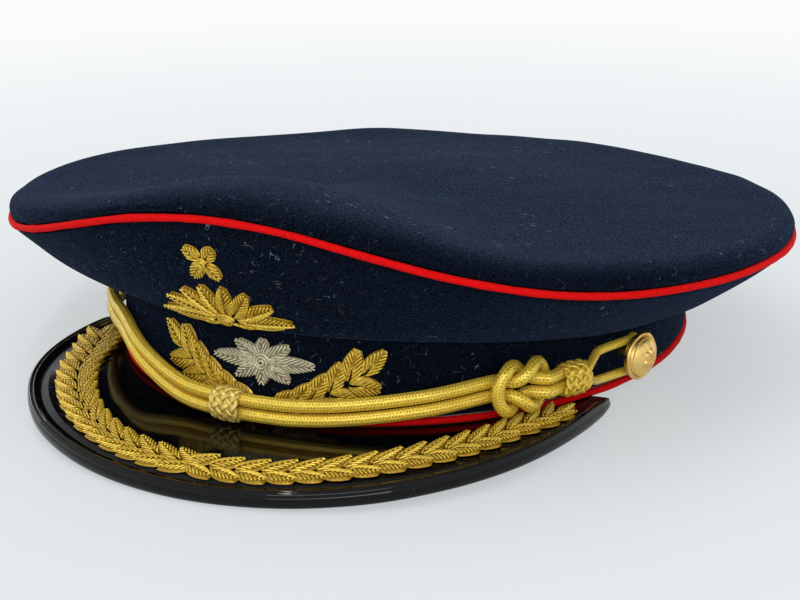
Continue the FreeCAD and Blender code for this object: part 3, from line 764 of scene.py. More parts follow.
def sweatband():
    """The leather band: thin, a little wavy and rolled at its foot."""
    corners = ((0, 0, 0.02), (0.48, 0, 0.98), (0.5, 0.5, 1), (0.52, 1, 0.98), (0.98, 1, 0.02),
               (0.99, 0.5, 0), (1, 0, 0.02))

    def place(u, v):
        skin, rise = ring_section(v, corners)
        angle = 360 * u
        height = mix(S.piping_radius, SWEATBAND_TOP, rise)
        crease = 0.25 * MM * ripple(head_point(angle, height, 0), 16, 31) * np.sin(np.pi * rise)
        return head_point(angle, height, SWEATBAND_WALL * (1 - skin) + crease * skin)
    return patch(420, 50, place)


def sweatband_stitches(count=190, span=0.62, lift=0.25 * MM):
    """The seam that holds the leather to the band: each stitch dips at both ends."""
    paths, normals = [], []
    arch = np.sin(np.linspace(0, math.pi, 5))[:, None]
    for k in range(count):
        angle = 360 * np.linspace(k, k + span, 5) / count
        up = -outward(angle, HEAD_HALF_WIDTH, HEAD_HALF_LENGTH)
        paths.append(head_point(angle, S.piping_radius + 2.6 * MM, 0) + up * (arch * lift))
        normals.append(up)
    return threads(paths, normals, 0.22 * MM, 5, 3, 0.3)


def crown_lining():
    """The satin dome, eased in with small pleats round its foot."""
    def place(u, v):
        out = np.interp(v, (0, 0.48, 0.52, 1), (0, 1, 1, 0))
        skin = np.interp(v, (0.48, 0.52), (0, LINING_WALL))
        top = S.dish_height - S.cloth_wall - LINING_DROP
        height = mix(top, SWEATBAND_TOP + LAYER_GAP, out**3) - skin * (1 - out**8)
        points = head_point(360 * u, height, SWEATBAND_WALL - skin, out)
        pleat = np.abs(np.sin(TAU * u * 17)) ** 3 * 0.7 * MM * smooth(out, 0.45, 0.95)
        points[..., 2] += (pleat * (1 - smooth(out, 0.96, 1.0))
                           + ripple(points, 30, 41) * 0.25 * MM * np.sin(np.pi * out))
        return points
    return patch(340, 70, place)


# Visor

VISOR_SETBACK = 53.4 * MM
VISOR_END = 98.0
VISOR_ROOT = 67.0
VISOR_SQUARENESS = 0.79
VISOR_SIDE_RUN = 60 * MM
VISOR_SIDE_RISE = 1.1 * MM
VISOR_ARCH = 1.6 * MM
SHELL_WALL = 1.4 * MM
UNDERSIDE_WALL = 1.0 * MM
BINDING_WIDTH = 4.6
BINDING_HEIGHT = 5.4
BINDING_SLOT = 3.7


def visor_edge(share):
    """The visor's outer line; share runs from -1 at its right end to 1 at its left."""
    angle = np.abs(share) * VISOR_END
    turn = np.radians(angle)
    side = VISOR_SETBACK - S.band_half_length
    c = np.cos(turn)
    front = side - (S.visor_reach + VISOR_SETBACK) * np.maximum(c, 0) ** VISOR_SQUARENESS
    y = np.where(angle <= 90, front, side - VISOR_SIDE_RUN * c)
    return points_of(np.sign(share) * S.visor_half_width * np.sin(turn), y,
                     mix(-S.visor_drop, VISOR_SIDE_RISE, np.sin(turn) ** 2))


def visor_point(share, t, down=0.0):
    """The visor's top face at share t from the band to the edge, or a face under it."""
    root = band_point(share * VISOR_ROOT, -LAYER_GAP, -2.4 * MM)
    arch = VISOR_ARCH * 4 * t * (1 - t) * np.maximum(np.cos(np.radians(share * VISOR_END)), 0)
    return root + (visor_edge(share) - root) * t[..., None] + points_of(0, 0, arch - down)


def visor_width(share):
    return np.linalg.norm(visor_edge(share) - visor_point(share, np.zeros_like(share)), axis=-1)


def visor_layer(down, wall):
    """One layer of the visor, a closed sheet that ends inside the binding."""
    def across(u, v):
        share = mix(-1, 1, u)
        width = visor_width(share)
        return share, width, np.interp(v, (0, 0.5, 0.54, 0.96, 1), (0, 1, 1, 0, 0)) * (1 - 1.3 * MM / width)

    def place(u, v):
        share, _, t = across(u, v)
        return visor_point(share, t, down + wall * np.interp(v, (0.5, 0.54, 0.96, 1), (0, 1, 1, 0)))

    def distances(u, v):
        _, width, t = across(u, v)
        return np.stack([320 * u, (1 - t) * width / MM], axis=-1)
    return patch(280, 56, place, distances)


def softened(profile, rounds):
    """A closed profile with its corners cut round and rounder."""
    for _ in range(rounds):
        after = np.roll(profile, -1, axis=0)
        profile = np.stack([mix(profile, after, 0.25), mix(profile, after, 0.75)], axis=1).reshape(-1, 2)
    return profile


def visor_binding():
    """The patent binding: a welt with two ridges on top that grips the visor's edge."""
    w, h, slot = BINDING_WIDTH / 2, BINDING_HEIGHT / 2, BINDING_SLOT / 2
    ridges = [(-w, h - 0.75), (-w * 0.3, h - 0.55), (-w * 0.02, h - 0.05), (w * 0.2, h - 0.7),
              (w * 0.42, h + 0.1), (w * 0.72, h - 0.1), (w * 0.92, h - 0.8), (w * 0.8, h - 1.35)]
    skirt = [(w, h - 1.9), (w, -h + 1.3), (w * 0.6, -h), (-w, -h)]
    mouth = [(-w, -slot), (w - 1.0, -slot), (w - 1.0, slot), (-w, slot)]
    profile = softened(np.array(ridges + skirt + mouth), 2) * MM
    w, count = w * MM, len(profile)

    def place(u, v):
        share = mix(-1, 1, u)
        x, z = profile[nearest(v, count)].T
        edge = visor_edge(share)
        out = unit(edge - visor_point(share, np.full_like(share, 0.9)))
        along = visor_edge(np.minimum(share + 0.01, 1)) - visor_edge(np.maximum(share - 0.01, -1))
        up = unit(np.cross(out, along))
        up = up * np.sign(up[..., 2])[..., None]
        middle = edge - out * w - points_of(0, 0, (SHELL_WALL + LAYER_GAP + UNDERSIDE_WALL) / 2)
        wander = ripple(edge, 26, 51) * 0.1 * MM
        slim = mix(0.55, 1.0, smooth(1 - np.abs(share), 0.0, 0.12))
        points = middle + out * (w + (x - w) * slim + wander)[..., None] + up * (z * slim)[..., None]
        tip = (np.abs(share) > 0.9999)[..., None]
        return np.where(tip, mix(points, middle, 0.25), points)
    return patch(420, count, place, sharp=50)


# Bullion embroidery: a motif's own places and sizes are in millimetres

def leaf_edge(share):
    """Half width of a leaf along its length, as a share of its greatest."""
    return np.sin(np.pi * np.clip(share, 0, 1) ** 0.85) ** 0.62


def leaf_height(share, across, swell, lift):
    """Height of a padded leaf: domed over each half, with a sunk vein and a lifted tip."""
    dome = np.sqrt(np.clip(1 - across**2, 0, 1))
    vein = 0.32 * np.exp(-(across / 0.16) ** 2)
    return swell * np.maximum(dome - vein, 0) * smooth(share, -0.25, 0.3) + lift * share


THREAD_PITCH = 2.85  # in thread radii, so that neighbours nearly touch


class Spray:
    """Leaves and couched cords on a face, gathered for one embroidered motif."""

    def __init__(self, face, gauge=0.31):
        self.face, self.gauge = face, gauge
        self.paths, self.normals, self.pads, self.cords = [], [], [], []

    def on(self, x, y, height):
        return self.face(*np.broadcast_arrays(*(np.atleast_1d(value) * MM for value in (x, y, height))))

    def leaf(self, x, y, heading, long, wide, swell=1.0, lift=0.5, slant=34, base=0.0):
        """A leaf whose threads slope from its vein out to its edge and on towards its tip."""
        heading, slope = math.radians(heading), math.radians(slant)
        c, s = math.cos(heading), math.sin(heading)
        half = wide / 2

        def turned(along, across, height):
            a, b = along * long, across * half
            return self.on(x + a * c - b * s, y + a * s + b * c, base + height)
        starts = np.arange(0.02, 0.93, THREAD_PITCH * self.gauge / math.sin(slope) / long)
        for side in (-1, 1):
            for start in starts + (0.012 if side > 0 else 0):
                # the thread's end on the outline is closed in on by small steps, as a blunt leaf needs
                end = start
                for _ in range(30):
                    end = mix(end, min(start + half * leaf_edge(end) / math.tan(slope) / long, 1.0), 0.25)
                along = np.linspace(start, end, 6)
                across = side * leaf_edge(end) * np.linspace(0.06, 1, 6) ** 0.9
                room = np.maximum(leaf_edge(along), 0.2) * 1.25
                height = leaf_height(along, np.clip(across / room, -1, 1), swell, lift)
                points = turned(along, across, height)
                self.paths.append(points)
                self.normals.append(unit(turned(along, across, height + 0.5) - points))

        def pad(u, v):
            reach, turn = 1 - v, TAU * u
            rim = mix(0.03, 0.94, (1 - np.cos(turn)) / 2)
            share = mix(0.48, rim, reach)
            across = np.sign(np.sin(turn)) * leaf_edge(rim) * 0.93 * reach
            height = leaf_height(share, across, swell * 0.5, lift) * smooth(v, -0.1, 0.2) - 0.1
            return turned(share, across, height)
        self.pads.append(patch(18, 4, pad))

    def cord(self, xs, ys, heights, radius):
        """A couched cord along points of the motif's face."""
        points = self.on(xs, ys, heights)
        run = run_of(points)[-1] / MM
        self.cords.append(pipe(spline(points, max(int(run / 0.5), 6)), radius * MM, 6, False, (0.0, run)))

    def coil(self, y, turns, count, reach, heights, radius):
        """A cord wound inwards round a point of the motif's middle line."""
        turn = np.linspace(0, turns * math.pi, count)
        reach = mix(reach, 0.2, turn / turn[-1])
        self.cord(reach * np.cos(turn), y + reach * np.sin(turn), mix(*heights, turn / turn[-1]), radius)

    def mesh(self):
        for pad in self.pads:
            pad.polygons.foreach_set("material_index", [1] * len(pad.polygons))
        rods = [threads(self.paths, self.normals, self.gauge * MM)] if self.paths else []
        return joined(rods + self.pads + self.cords)


GARLAND_REACH = 0.88
GARLAND_INSET = 17.0 * MM
GARLAND_FRONT_INSET = 11.5 * MM
GARLAND_FIRST = -3.0
GARLAND_TIP = 12.0
GARLAND_PITCH = 7.3


def garland(side):
    """Pairs of leaves that grow along one half of the visor, from its front to its end."""
    shares = np.linspace(-0.06, GARLAND_REACH + 0.06, 180)

    def spread(share):
        return smooth(share, 0.1, 0.6)

    def centre(share):
        inset = mix(GARLAND_FRONT_INSET, GARLAND_INSET, spread(share))
        return 1 - np.minimum(inset / visor_width(side * share), 0.55)
    run = run_of(visor_point(side * shares, centre(shares)))
    run = (run - np.interp(0, shares, run)) / MM
    end = np.interp(GARLAND_REACH, shares, run)

    def face(x, y, height):
        share = np.interp(x / MM, run, shares)
        t = centre(share) + y / visor_width(side * share)
        here = visor_point(side * share, t)
        ahead = visor_point(side * (share + 0.004), t) - here
        out = visor_point(side * share, t + 0.02) - here
        up = unit(np.cross(ahead, out))
        return here + up * (np.sign(up[..., 2:]) * (LAYER_GAP + height)[..., None])

    spray = Spray(face)
    last = end - GARLAND_TIP
    count = int((last - GARLAND_FIRST) / GARLAND_PITCH)
    for k in range(count):
        start = mix(GARLAND_FIRST, last, k / (count - 1))
        wide = float(spread(np.interp(start, run, shares)))
        small = mix(1, 0.8, smooth(k / count, 0.85, 1)) / MM
        for row in (-1, 1):
            spray.leaf(start + (1.8 if row > 0 else 0), row * mix(0.8, 0.5, wide), row * mix(24, 36, wide),
                       mix(0.85, 0.92, wide) * S.leaf_length * small,
                       mix(0.72, 0.84, wide) * S.leaf_width * small, 1.3, 0.6)
    spray.leaf(end - 7, 0, 0, 10, 5.2)
    return spray.mesh()


# Badge

STAR_HEIGHT = 18.0
BAND_BADGE_ANGLE = 2.0
CROWN_BADGE_ANGLE = -2.5
PALMETTE_FOOT = 11.0
ROSETTE_PLACE = 32.5


def on_band(x, y, height):
    """The band's face below the fold: x runs round it and y up it, both as lengths."""
    return band_point(BAND_BADGE_ANGLE + np.degrees(x / S.band_half_width), y, LAYER_GAP + height)


def on_quarter(x, y, height):
    """The front quarter's face: y is the distance up its slant from its fold."""
    foot, rim = (quarter_point(np.zeros(1), np.full(1, t)) for t in (0.2, 1.0))
    angle = CROWN_BADGE_ANGLE + np.degrees(x / (S.band_half_width + S.rim_half_width) * 2)
    t = 0.2 + 0.8 * y / np.linalg.norm(rim - foot)
    here = quarter_point(angle, t)
    rise = quarter_point(angle, t + 0.01) - here
    across = quarter_point(angle + 0.5, t) - here
    return here + unit(np.cross(across, rise)) * (LAYER_GAP + height)[..., None]


def wreath():
    """Two leafy branches on the band, tied together at their foot."""
    spray = Spray(on_band)
    for side in (-1, 1):
        def branch(share):
            return side * mix(3.0, 31.0, share), 4.6 + 13.0 * share ** 1.7
        for share in np.arange(5) / 5:
            x, y = branch(share)
            after = branch(share + 0.02)
            heading = math.degrees(math.atan2(after[1] - y, after[0] - x))
            for row in (-1, 1):
                long = mix(9.5, 12.0, share) * (1 if row > 0 else 0.88)
                spray.leaf(x, y + row * 0.2, heading + row * side * mix(30, 44, share), long,
                           mix(5.4, 6.9, share), 1.3, 0.45)
        x, y = branch(1.0)
        spray.leaf(x - side * 1.5, y - 1.5, 90 - side * 40, 10.5, 5.8, 1.1, 0.45)
    turns = np.linspace(0, TAU, 13)
    for k in (-1, 0, 1):
        spray.cord(k * 1.1 + 0.3 * np.sin(turns), 4.6 + 2.2 * np.cos(turns[::-1] / 2),
                   0.9 + 0.4 * np.sin(turns / 2), 0.45)
    return spray.mesh()


def star():
    """An eight-rayed star, drawn out sideways, of pale silver purl over padding."""
    spray = Spray(on_band, 0.28)
    for k in range(8):
        heading, long = ((0, 17.0), (32, 10.6), (90, 7.6), (148, 10.6))[k % 4]
        spray.leaf(0, STAR_HEIGHT, heading + 180 * (k // 4), long, 5.4, 1.0, 0.1, 26, 0.1 if k % 2 else 0.3)
    return spray.mesh()


def star_boss():
    """The star's middle: a coil of purl wound inwards."""
    spray = Spray(on_band)
    spray.coil(STAR_HEIGHT, 5.5, 90, 2.6, (1.35, 1.8), 0.42)
    return spray.mesh()


def palmette():
    """A fan of leaves over a pair of scrolls, on the front quarter."""
    spray = Spray(on_quarter)
    foot = PALMETTE_FOOT
    for heading, long in zip((9, 30, 53, 77, 103, 127, 150, 171), (21, 18, 15, 13.6, 13.6, 15, 18, 21)):
        turn = math.radians(heading)
        spray.leaf(3.4 * math.cos(turn), foot + 2.0 * math.sin(turn), heading, long, 5.8, 1.0, 0.4)
    turns = np.linspace(0, 2.6 * math.pi, 40)
    reach = mix(3.2, 0.7, turns / turns[-1])
    stem = np.array([0.4, 5, 10, 15, 20]), foot - np.array([1.6, 2.6, 2.2, 1.6, -0.4])
    for side in (-1, 1):
        spray.cord(side * (7.0 - reach * np.cos(turns)), foot - 1.4 - reach * np.sin(turns) * 0.6, 0.8, 0.5)
        spray.cord(side * stem[0], stem[1], 0.7, 0.5)
    spray.coil(foot + 0.8, 5.6, 80, 3.0, (1.2, 1.8), 0.5)
    return spray.mesh()


def rosette():
    """A small four-petalled flower above the palmette."""
    spray = Spray(on_quarter, 0.26)
    for heading in (45, 135, 225, 315):
        turn = math.radians(heading)
        spray.leaf(0.9 * math.cos(turn), ROSETTE_PLACE + 0.9 * math.sin(turn), heading, 5.6, 4.6, 0.9, 0.2)
    spray.coil(ROSETTE_PLACE, 4, 50, 1.5, (0.9, 1.4), 0.4)
    return spray.mesh()


# Chin cord: two loops joined in a reef knot, with a slide knot on each side of the front

CORD_SPREAD = 2.2 * MM
CORD_STANDOFF = 6.9 * MM
CORD_FRONT_HEIGHT = 5.5 * MM
THIN_CORD = 1.4 * MM
BUTTON_STANDOFF = 4.2 * MM
BUTTON_ANGLE = 74.0
BUTTON_HEIGHT = 11.7 * MM
STRAP_RISE = 4.5 * MM
LOOP_RISE = 5.4 * MM
LOOP_REACH = 4.3 * MM
REEF_ANGLE = 44.5
REEF_LENGTH = 16.0 * MM
REEF_HALF_HEIGHT = 6.6 * MM
REEF_END_REACH = 5.0 * MM
REEF_DEPTH = 2.5 * MM
FRONT_KNOT_ANGLE = -3.0
SIDE_KNOT_PLACE = 25.0 * MM
SIDE_KNOT_DEPTH = 1.0 * MM
PLAITS = 10
PLAIT_LEAN = 0.9
STITCH = 0.95 * MM
KNOT_LENGTH, KNOT_HEIGHT, KNOT_DEPTH = 9.5 * MM, 11.0 * MM, 8.8 * MM
KNOT_LEADS, KNOT_BIGHTS = 7, 9
STRAND_HALF_WIDTH, STRAND_HALF_THICKNESS = 0.74 * MM, 0.46 * MM
KNOT_HOLE_DEPTH, KNOT_HOLE_HEIGHT = 2.3 * MM, 4.55 * MM


def cord_height(angle):
    """Height of the middle of the doubled cord as it runs round the front."""
    side = np.abs(angle)
    left = mix(CORD_FRONT_HEIGHT, BUTTON_HEIGHT, smooth(side, 5, 50))
    rise = smooth(side, 9, 37)
    right = mix(CORD_FRONT_HEIGHT, BUTTON_HEIGHT, rise) + STRAP_RISE * rise * (1 - smooth(side, 46, 68))
    return np.where(angle >= 0, left, right)


def cord_point(angle, height, depth):
    return band_point(angle, height, CORD_STANDOFF + depth)


def degrees_along(angle, distance):
    turn = math.radians(angle)
    pace = math.hypot((S.band_half_width + CORD_STANDOFF) * math.cos(turn),
                      (S.band_half_length + CORD_STANDOFF) * math.sin(turn))
    return np.degrees(distance / pace)


def reef_angle(along):
    return REEF_ANGLE + degrees_along(REEF_ANGLE + 4.5, along)


def reef_point(along, height, depth):
    angle = reef_angle(along)
    return cord_point(angle, cord_height(angle) + height, depth)


def reef_bight():
    """Half of one bight of the reef knot: distance along, height and depth of its points."""
    run = np.linspace(0, 0.75 * REEF_LENGTH, 9)
    share = np.clip(2 * run / REEF_LENGTH - 0.5, 0, 1)
    height = mix(CORD_SPREAD, REEF_HALF_HEIGHT, (1 - np.cos(math.pi * share)) / 2)
    turns = np.radians(np.linspace(18, 90, 5))
    along = np.append(run, run[-1] + REEF_END_REACH * np.sin(turns))
    height = np.append(height, REEF_HALF_HEIGHT * np.cos(turns))
    over = np.clip(along, 0, REEF_LENGTH) / REEF_LENGTH
    return along, height, REEF_DEPTH * np.sin(math.pi * (2 * over - 0.5))


def with_radius(points, radius):
    return np.column_stack([points, np.broadcast_to(radius, (len(points),))])


def button_loop(side):
    """The half turn of thin cord behind a button, from its upper strand to its lower one."""
    turns = np.radians([115, 80, 40, 0, -40, -80, -115])
    angle = side * (BUTTON_ANGLE + degrees_along(BUTTON_ANGLE, LOOP_REACH * np.cos(turns)))
    points = cord_point(angle, BUTTON_HEIGHT + LOOP_RISE * np.sin(turns), BUTTON_STANDOFF - CORD_STANDOFF)
    return with_radius(points, THIN_CORD)


def long_strand(side):
    angle = np.linspace(-67, REEF_ANGLE - 3, 27)
    near = smooth(-angle, 52, 68)
    height = cord_height(angle) + side * mix(CORD_SPREAD, 0.85 * LOOP_RISE, near)
    depth = mix(0, BUTTON_STANDOFF - CORD_STANDOFF, smooth(-angle, 24, 40))
    depth = depth - REEF_DEPTH * smooth(angle, REEF_ANGLE - 12, REEF_ANGLE)
    radius = mix(S.cord_radius, THIN_CORD, smooth(-angle, 50, 62))
    return with_radius(cord_point(angle, height, depth), radius)


def long_path():
    along, height, depth = reef_bight()
    top, bottom = (with_radius(reef_point(along, side * height, depth), S.cord_radius) for side in (1, -1))
    return np.vstack([long_strand(1), top, bottom[-2::-1], long_strand(-1)[::-1], button_loop(-1)[::-1]])


def short_strand(side):
    end = SIDE_KNOT_PLACE + KNOT_LENGTH / 2
    along = np.array([end - KNOT_LENGTH, SIDE_KNOT_PLACE, end, end + 2 * MM, end + 5 * MM, end + 9 * MM])
    leave = smooth(along, end, end + 9 * MM)
    height = side * mix(CORD_SPREAD, 0.85 * LOOP_RISE, leave)
    depth = mix(SIDE_KNOT_DEPTH, BUTTON_STANDOFF - CORD_STANDOFF, leave)
    return with_radius(reef_point(along, height, depth),
                       mix(S.cord_radius, THIN_CORD, smooth(along, end, end + 2 * MM)))


def short_path():
    along, height, depth = reef_bight()
    top, bottom = (with_radius(reef_point(REEF_LENGTH - along, side * height, -depth), S.cord_radius)
                   for side in (1, -1))
    return np.vstack([short_strand(1), button_loop(1), short_strand(-1)[::-1], bottom, top[-2::-1]])


def braided(path, step=0.3 * MM):
    """A braided cord: ten plaits whose stitches lean one way and then the other."""
    run = run_of(spline(path, 400, True)[:, :3])[-1]
    line = spline(path, int(run / step) + 1, True)[:-1]
    stitches = round(run / STITCH)

    def relief(u, v):
        column = u * PLAITS
        lean = 1 - np.abs(column % 2 - 1)
        stitch = np.abs(np.sin(math.pi * (v * stitches + lean * PLAIT_LEAN))) ** 0.6
        return 0.28 * MM * (1 - stitch * np.sin(math.pi * np.clip(column % 1, 0.05, 0.95)) ** 0.4)
    return pipe(line[:, :3], line[:, 3], 40, True, (1.0, stitches), relief)


def slide_knot(angle, depth):
    """A woven slide knot: one strand laid over and under itself round a hollow barrel.

    The strand crosses the barrel once for each of its passes, and its leads are the crossings of a pass.
    """
    middle = cord_point(angle, cord_height(angle), depth)
    out = outward(angle, S.band_half_width + CORD_STANDOFF, S.band_half_length + CORD_STANDOFF)
    along = points_of(-out[1], out[0], 0)

    def ring(turn, place, deep, high):
        return (middle + along * (KNOT_LENGTH / 2 * place)[..., None]
                + out * (deep * np.cos(turn))[..., None] + points_of(0, 0, high * np.sin(turn)))

    def barrel(turn, place, inset):
        swell = 1 - 0.16 * np.abs(place) ** 3
        return ring(turn, place, KNOT_DEPTH / 2 * swell - inset, KNOT_HEIGHT / 2 * swell - inset)

    passes = np.linspace(0, 2 * KNOT_BIGHTS, 2 * KNOT_BIGHTS * 44, endpoint=False)
    number, share = np.floor(passes), passes % 1
    lead = KNOT_LEADS * share
    phase = np.where(lead < 1, (1 + lead) / 2, lead)
    phase = np.where(lead > KNOT_LEADS - 1, (KNOT_LEADS - 1 + lead) / 2, phase)
    weave = np.cos(math.pi * (number * (KNOT_LEADS - 1) + phase))
    swing = np.sin((share - 0.5) * math.pi * 0.86) / math.sin(0.43 * math.pi)
    place = np.where(number % 2 == 0, 1, -1) * swing
    line = barrel(math.pi * KNOT_LEADS / KNOT_BIGHTS * passes, place * 0.93, 0.75 * MM - 0.3 * MM * weave)
    count = len(line)
    ahead = neighbours(line)
    away = unit(line - middle - along * ((line - middle) @ along)[:, None])
    side = unit(np.cross(ahead, away))
    away = np.cross(side, ahead)

    def strand(u, v):
        i, t = nearest(v, count), TAU * u
        return (line[i] + side[i] * (STRAND_HALF_WIDTH * np.cos(t))[:, None]
                + away[i] * (STRAND_HALF_THICKNESS * np.sin(t))[:, None])

    def core(u, v):
        marks = (0, 0.4, 0.5, 0.9, 1)
        place = np.interp(v, marks, (-0.9, 0.9, 0.9, -0.9, -0.9))
        inner = np.interp(v, marks, (0, 0, 1, 1, 0))
        hole = ring(TAU * u, place, KNOT_HOLE_DEPTH, KNOT_HOLE_HEIGHT)
        return mix(barrel(TAU * u, place, 0.95 * MM), hole, inner[..., None])
    run = run_of(line)[-1] / MM
    return joined([patch(8, count, strand, lambda u, v: np.stack([u - 0.25, v * run], axis=-1)),
                   patch(40, 20, core, (0.0, 9.0))])


# Side buttons

CAP_PROFILE = (
    (0.0, 4.6), (1.6, 4.5), (3.2, 4.08), (4.6, 3.35), (5.6, 2.45), (6.15, 1.75), (6.3, 1.35),  # dome
    (6.45, 1.45), (6.75, 1.62), (7.1, 1.5), (7.4, 1.1), (7.42, 0.6), (7.2, 0.15), (6.8, 0.0),  # rolled rim
    (6.0, 0.05), (5.8, 0.6), (5.2, 1.7), (3.9, 2.9), (2.2, 3.6), (0.0, 3.85))  # hollow back
CAP_RIM = 7.4
CAP_SEAT = 0.85 * MM
ROPE_TURNS = 48


def button_cap(side):
    """The pressed brass front, turned from its profile: a dome in a rolled rim."""
    radius = S.button_radius
    bm = bmesh.new()
    profile = [bm.verts.new((r / CAP_RIM * radius, 0, z * MM)) for r, z in CAP_PROFILE]
    edges = [bm.edges.new(pair) for pair in zip(profile, profile[1:])]
    bmesh.ops.spin(bm, geom=profile + edges, cent=(0, 0, 0), axis=(0, 0, 1), angle=TAU, steps=72,
                   use_merge=True)
    whole = joined([cleaned(meshed(bm), 60), button_bead(radius), button_flower(radius)])
    angle = side * BUTTON_ANGLE
    normal = outward(angle, S.band_half_width, S.band_half_length)
    seat = BUTTON_STANDOFF + THIN_CORD + LAYER_GAP + CAP_SEAT
    x, y, z = read(whole).T[:, :, None]
    write(whole, band_point(angle, BUTTON_HEIGHT) + normal * (seat + z) + np.cross((0, 0, 1), normal) * x
          + np.array([0, 0, 1.0]) * y)
    return shaded(whole, 50)


def button_bead(radius, count=288):
    """The roped line inside the button's rim."""
    def place(u, v):
        t, ring = TAU * nearest(v, count) / count, TAU * u
        girth = 0.24 * MM * (1 + 0.35 * np.sin(ROPE_TURNS * t + ring))
        reach = 0.79 * radius + girth * np.cos(ring)
        return points_of(reach * np.cos(t), reach * np.sin(t), 2.3 * MM + girth * np.sin(ring))
    return patch(8, count, place, stand=False)


def button_flower(radius):
    """A plain raised flower of five petals in the middle of the dome."""
    def place(u, v):
        t = TAU * u
        petal = 0.2 + 0.28 * np.abs(np.cos(2.5 * t)) ** 0.7
        reach = radius * petal * (1 - v)
        dome = 4.6 * MM - 0.043 / MM * reach**2
        petals = 0.5 * smooth(v, -0.02, 0.3) - 0.35 * smooth(v, 0.5, 0.72)
        boss = 0.5 * smooth(v, 0.74, 0.84)
        return points_of(reach * np.cos(t), reach * np.sin(t), dome + (petals + boss - 0.08) * MM)
    return patch(80, 20, place, stand=False)


# Stage

VIEW_AZIMUTH = math.radians(26.46)
VIEW_ELEVATION = math.radians(19.33)
VIEW_ROLL = math.radians(-0.38)
VIEW_DISTANCE = 822.6 * MM
VIEW_TARGET = Vector((-16.2 * MM, 43.6 * MM, 0.7 * MM))
VIEW_LENS = 108.0
LAMP_AIM = Vector((0, 0, 0.03))
LAMPS = (  # name, place, width, height and watts
    ("Key", (-0.3, -0.1, 1.5), 3.0, 0.06, 8),
    ("Left", (-1.2, 0.75, 0.4), 1.4, 0.1, 2.5),
    ("Back", (0.3, 1.3, 0.9), 1.2, 1.2, 3),
    ("Front", (0.7, -1.4, 0.7), 1.4, 0.2, 8.5),
)
WORLD_LIGHT = 0.76


def make_camera():
    lens = bpy.data.cameras.new("Camera")
    lens.lens, lens.sensor_width = VIEW_LENS, 36.0
    lens.clip_start, lens.clip_end = 0.01, 50
    c, s, level = math.cos(VIEW_AZIMUTH), math.sin(VIEW_AZIMUTH), math.cos(VIEW_ELEVATION)
    back, right = Vector((s * level, -c * level, math.sin(VIEW_ELEVATION))), Vector((c, s, 0))
    turn = Matrix((right, back.cross(right), back)).transposed().to_4x4()
    made = placed("Camera", lens)
    made.matrix_world = (Matrix.Translation(VIEW_TARGET + back * VIEW_DISTANCE) @ turn
                         @ Matrix.Rotation(VIEW_ROLL, 4, "Z"))
    bpy.context.scene.camera = made


def make_lamp(name, place, wide, tall, power):
    light = bpy.data.lights.new(name, "AREA")
    light.shape, light.size, light.size_y, light.energy = "RECTANGLE", wide, tall, power
    made = placed(name, light)
    made.location = place
    made.rotation_euler = (LAMP_AIM - Vector(place)).to_track_quat("-Z", "Y").to_euler()


def seen_directly(tree):
    """1 for what the camera, a mirror or glass sees and 0 for the light that falls on the cap."""
    camera, glass, mirror = (add(tree, "LightPath", out=f"Is {ray} Ray")
                             for ray in ("Camera", "Transmission", "Glossy"))
    seen = add(tree, "Math", (camera, glass), operation="MAXIMUM")
    return add(tree, "Math", (seen, mirror), operation="MAXIMUM")


def make_floor():
    """A pale paper floor that shows as clean white far off."""
    it = Finish("studio_paper", held("floor"), Roughness=0.9, Specular_IOR_Level=0.1)
    weave = it.cloud(1.6, 2.0, 0.6)
    it.shade = tint(it.base, 0.985)
    it.tone(1.015, weave, 0.3, 0.7)
    paper = it.done(weave, 0.1, 0.35)
    away = it.add("VectorMath", (it.add("TexCoord", out="Object"),), "Value", operation="LENGTH")
    it.shade = linear("#eef3f5")
    it.tone(linear("#fdfeff"), away, 0.12, 0.5)
    most = it.add("MapRange", (away, 0.12, 0.7, 0.54, 1.0), **SOFT)
    share = it.add("Math", (seen_directly(it.tree), most), operation="MULTIPLY")
    shader = it.tree.nodes["Principled BSDF"].outputs["BSDF"]
    both = it.add("MixShader", (share, shader, it.add("Emission", {"Color": it.shade})))
    put(it.tree, it.tree.nodes["Material Output"].inputs["Surface"], both)
    bm = bmesh.new()
    bmesh.ops.create_grid(bm, x_segments=1, y_segments=1, size=4.0)
    floor = placed("Floor", meshed(bm))
    floor.data.materials.append(paper)


def make_world():
    world = bpy.data.worlds.new("Studio")
    bpy.context.scene.world = world
    world.use_nodes = True
    tree = world.node_tree
    sky = tree.nodes["Background"].inputs
    put(tree, sky["Color"], (0.98, 0.99, 1.0, 1.0))
    put(tree, sky["Strength"], add(tree, "Math", (seen_directly(tree), 1.0 - WORLD_LIGHT, WORLD_LIGHT),
                                   operation="MULTIPLY_ADD"))


# Operators

class CAP_OT_stage(bpy.types.Operator):
    """Set the camera, lamps and floor"""
    bl_idname, bl_label = "cap.stage", "Stage"

    def execute(self, context):
        make_camera()
        make_world()
        make_floor()
        for lamp in LAMPS:
            make_lamp(*lamp)
        context.scene.view_settings.view_transform = "Standard"
        return {"FINISHED"}


class CAP_OT_cloth(bpy.types.Operator):
    """Build the band, the quarters, the crown top and its wadding"""
    bl_idname, bl_label = "cap.cloth", "Cloth"

    def execute(self, context):
        cloth = wool()
        piece("Band_cloth", cloth_band(), cloth)
        for number, name in enumerate(("Front_quarter", "Left_quarter", "Back_quarter", "Right_quarter")):
            first = 90 * number - 45
            piece(name, quarter(first + 0.02, first + 89.98), cloth)
        piece("Crown_top", crown_top(), cloth)
        roll = piece("Crown_wadding", wadding(), plain_finish("cotton_wadding", "#cfc8b8", 0.8, rough=0.95))
        return {"FINISHED"}


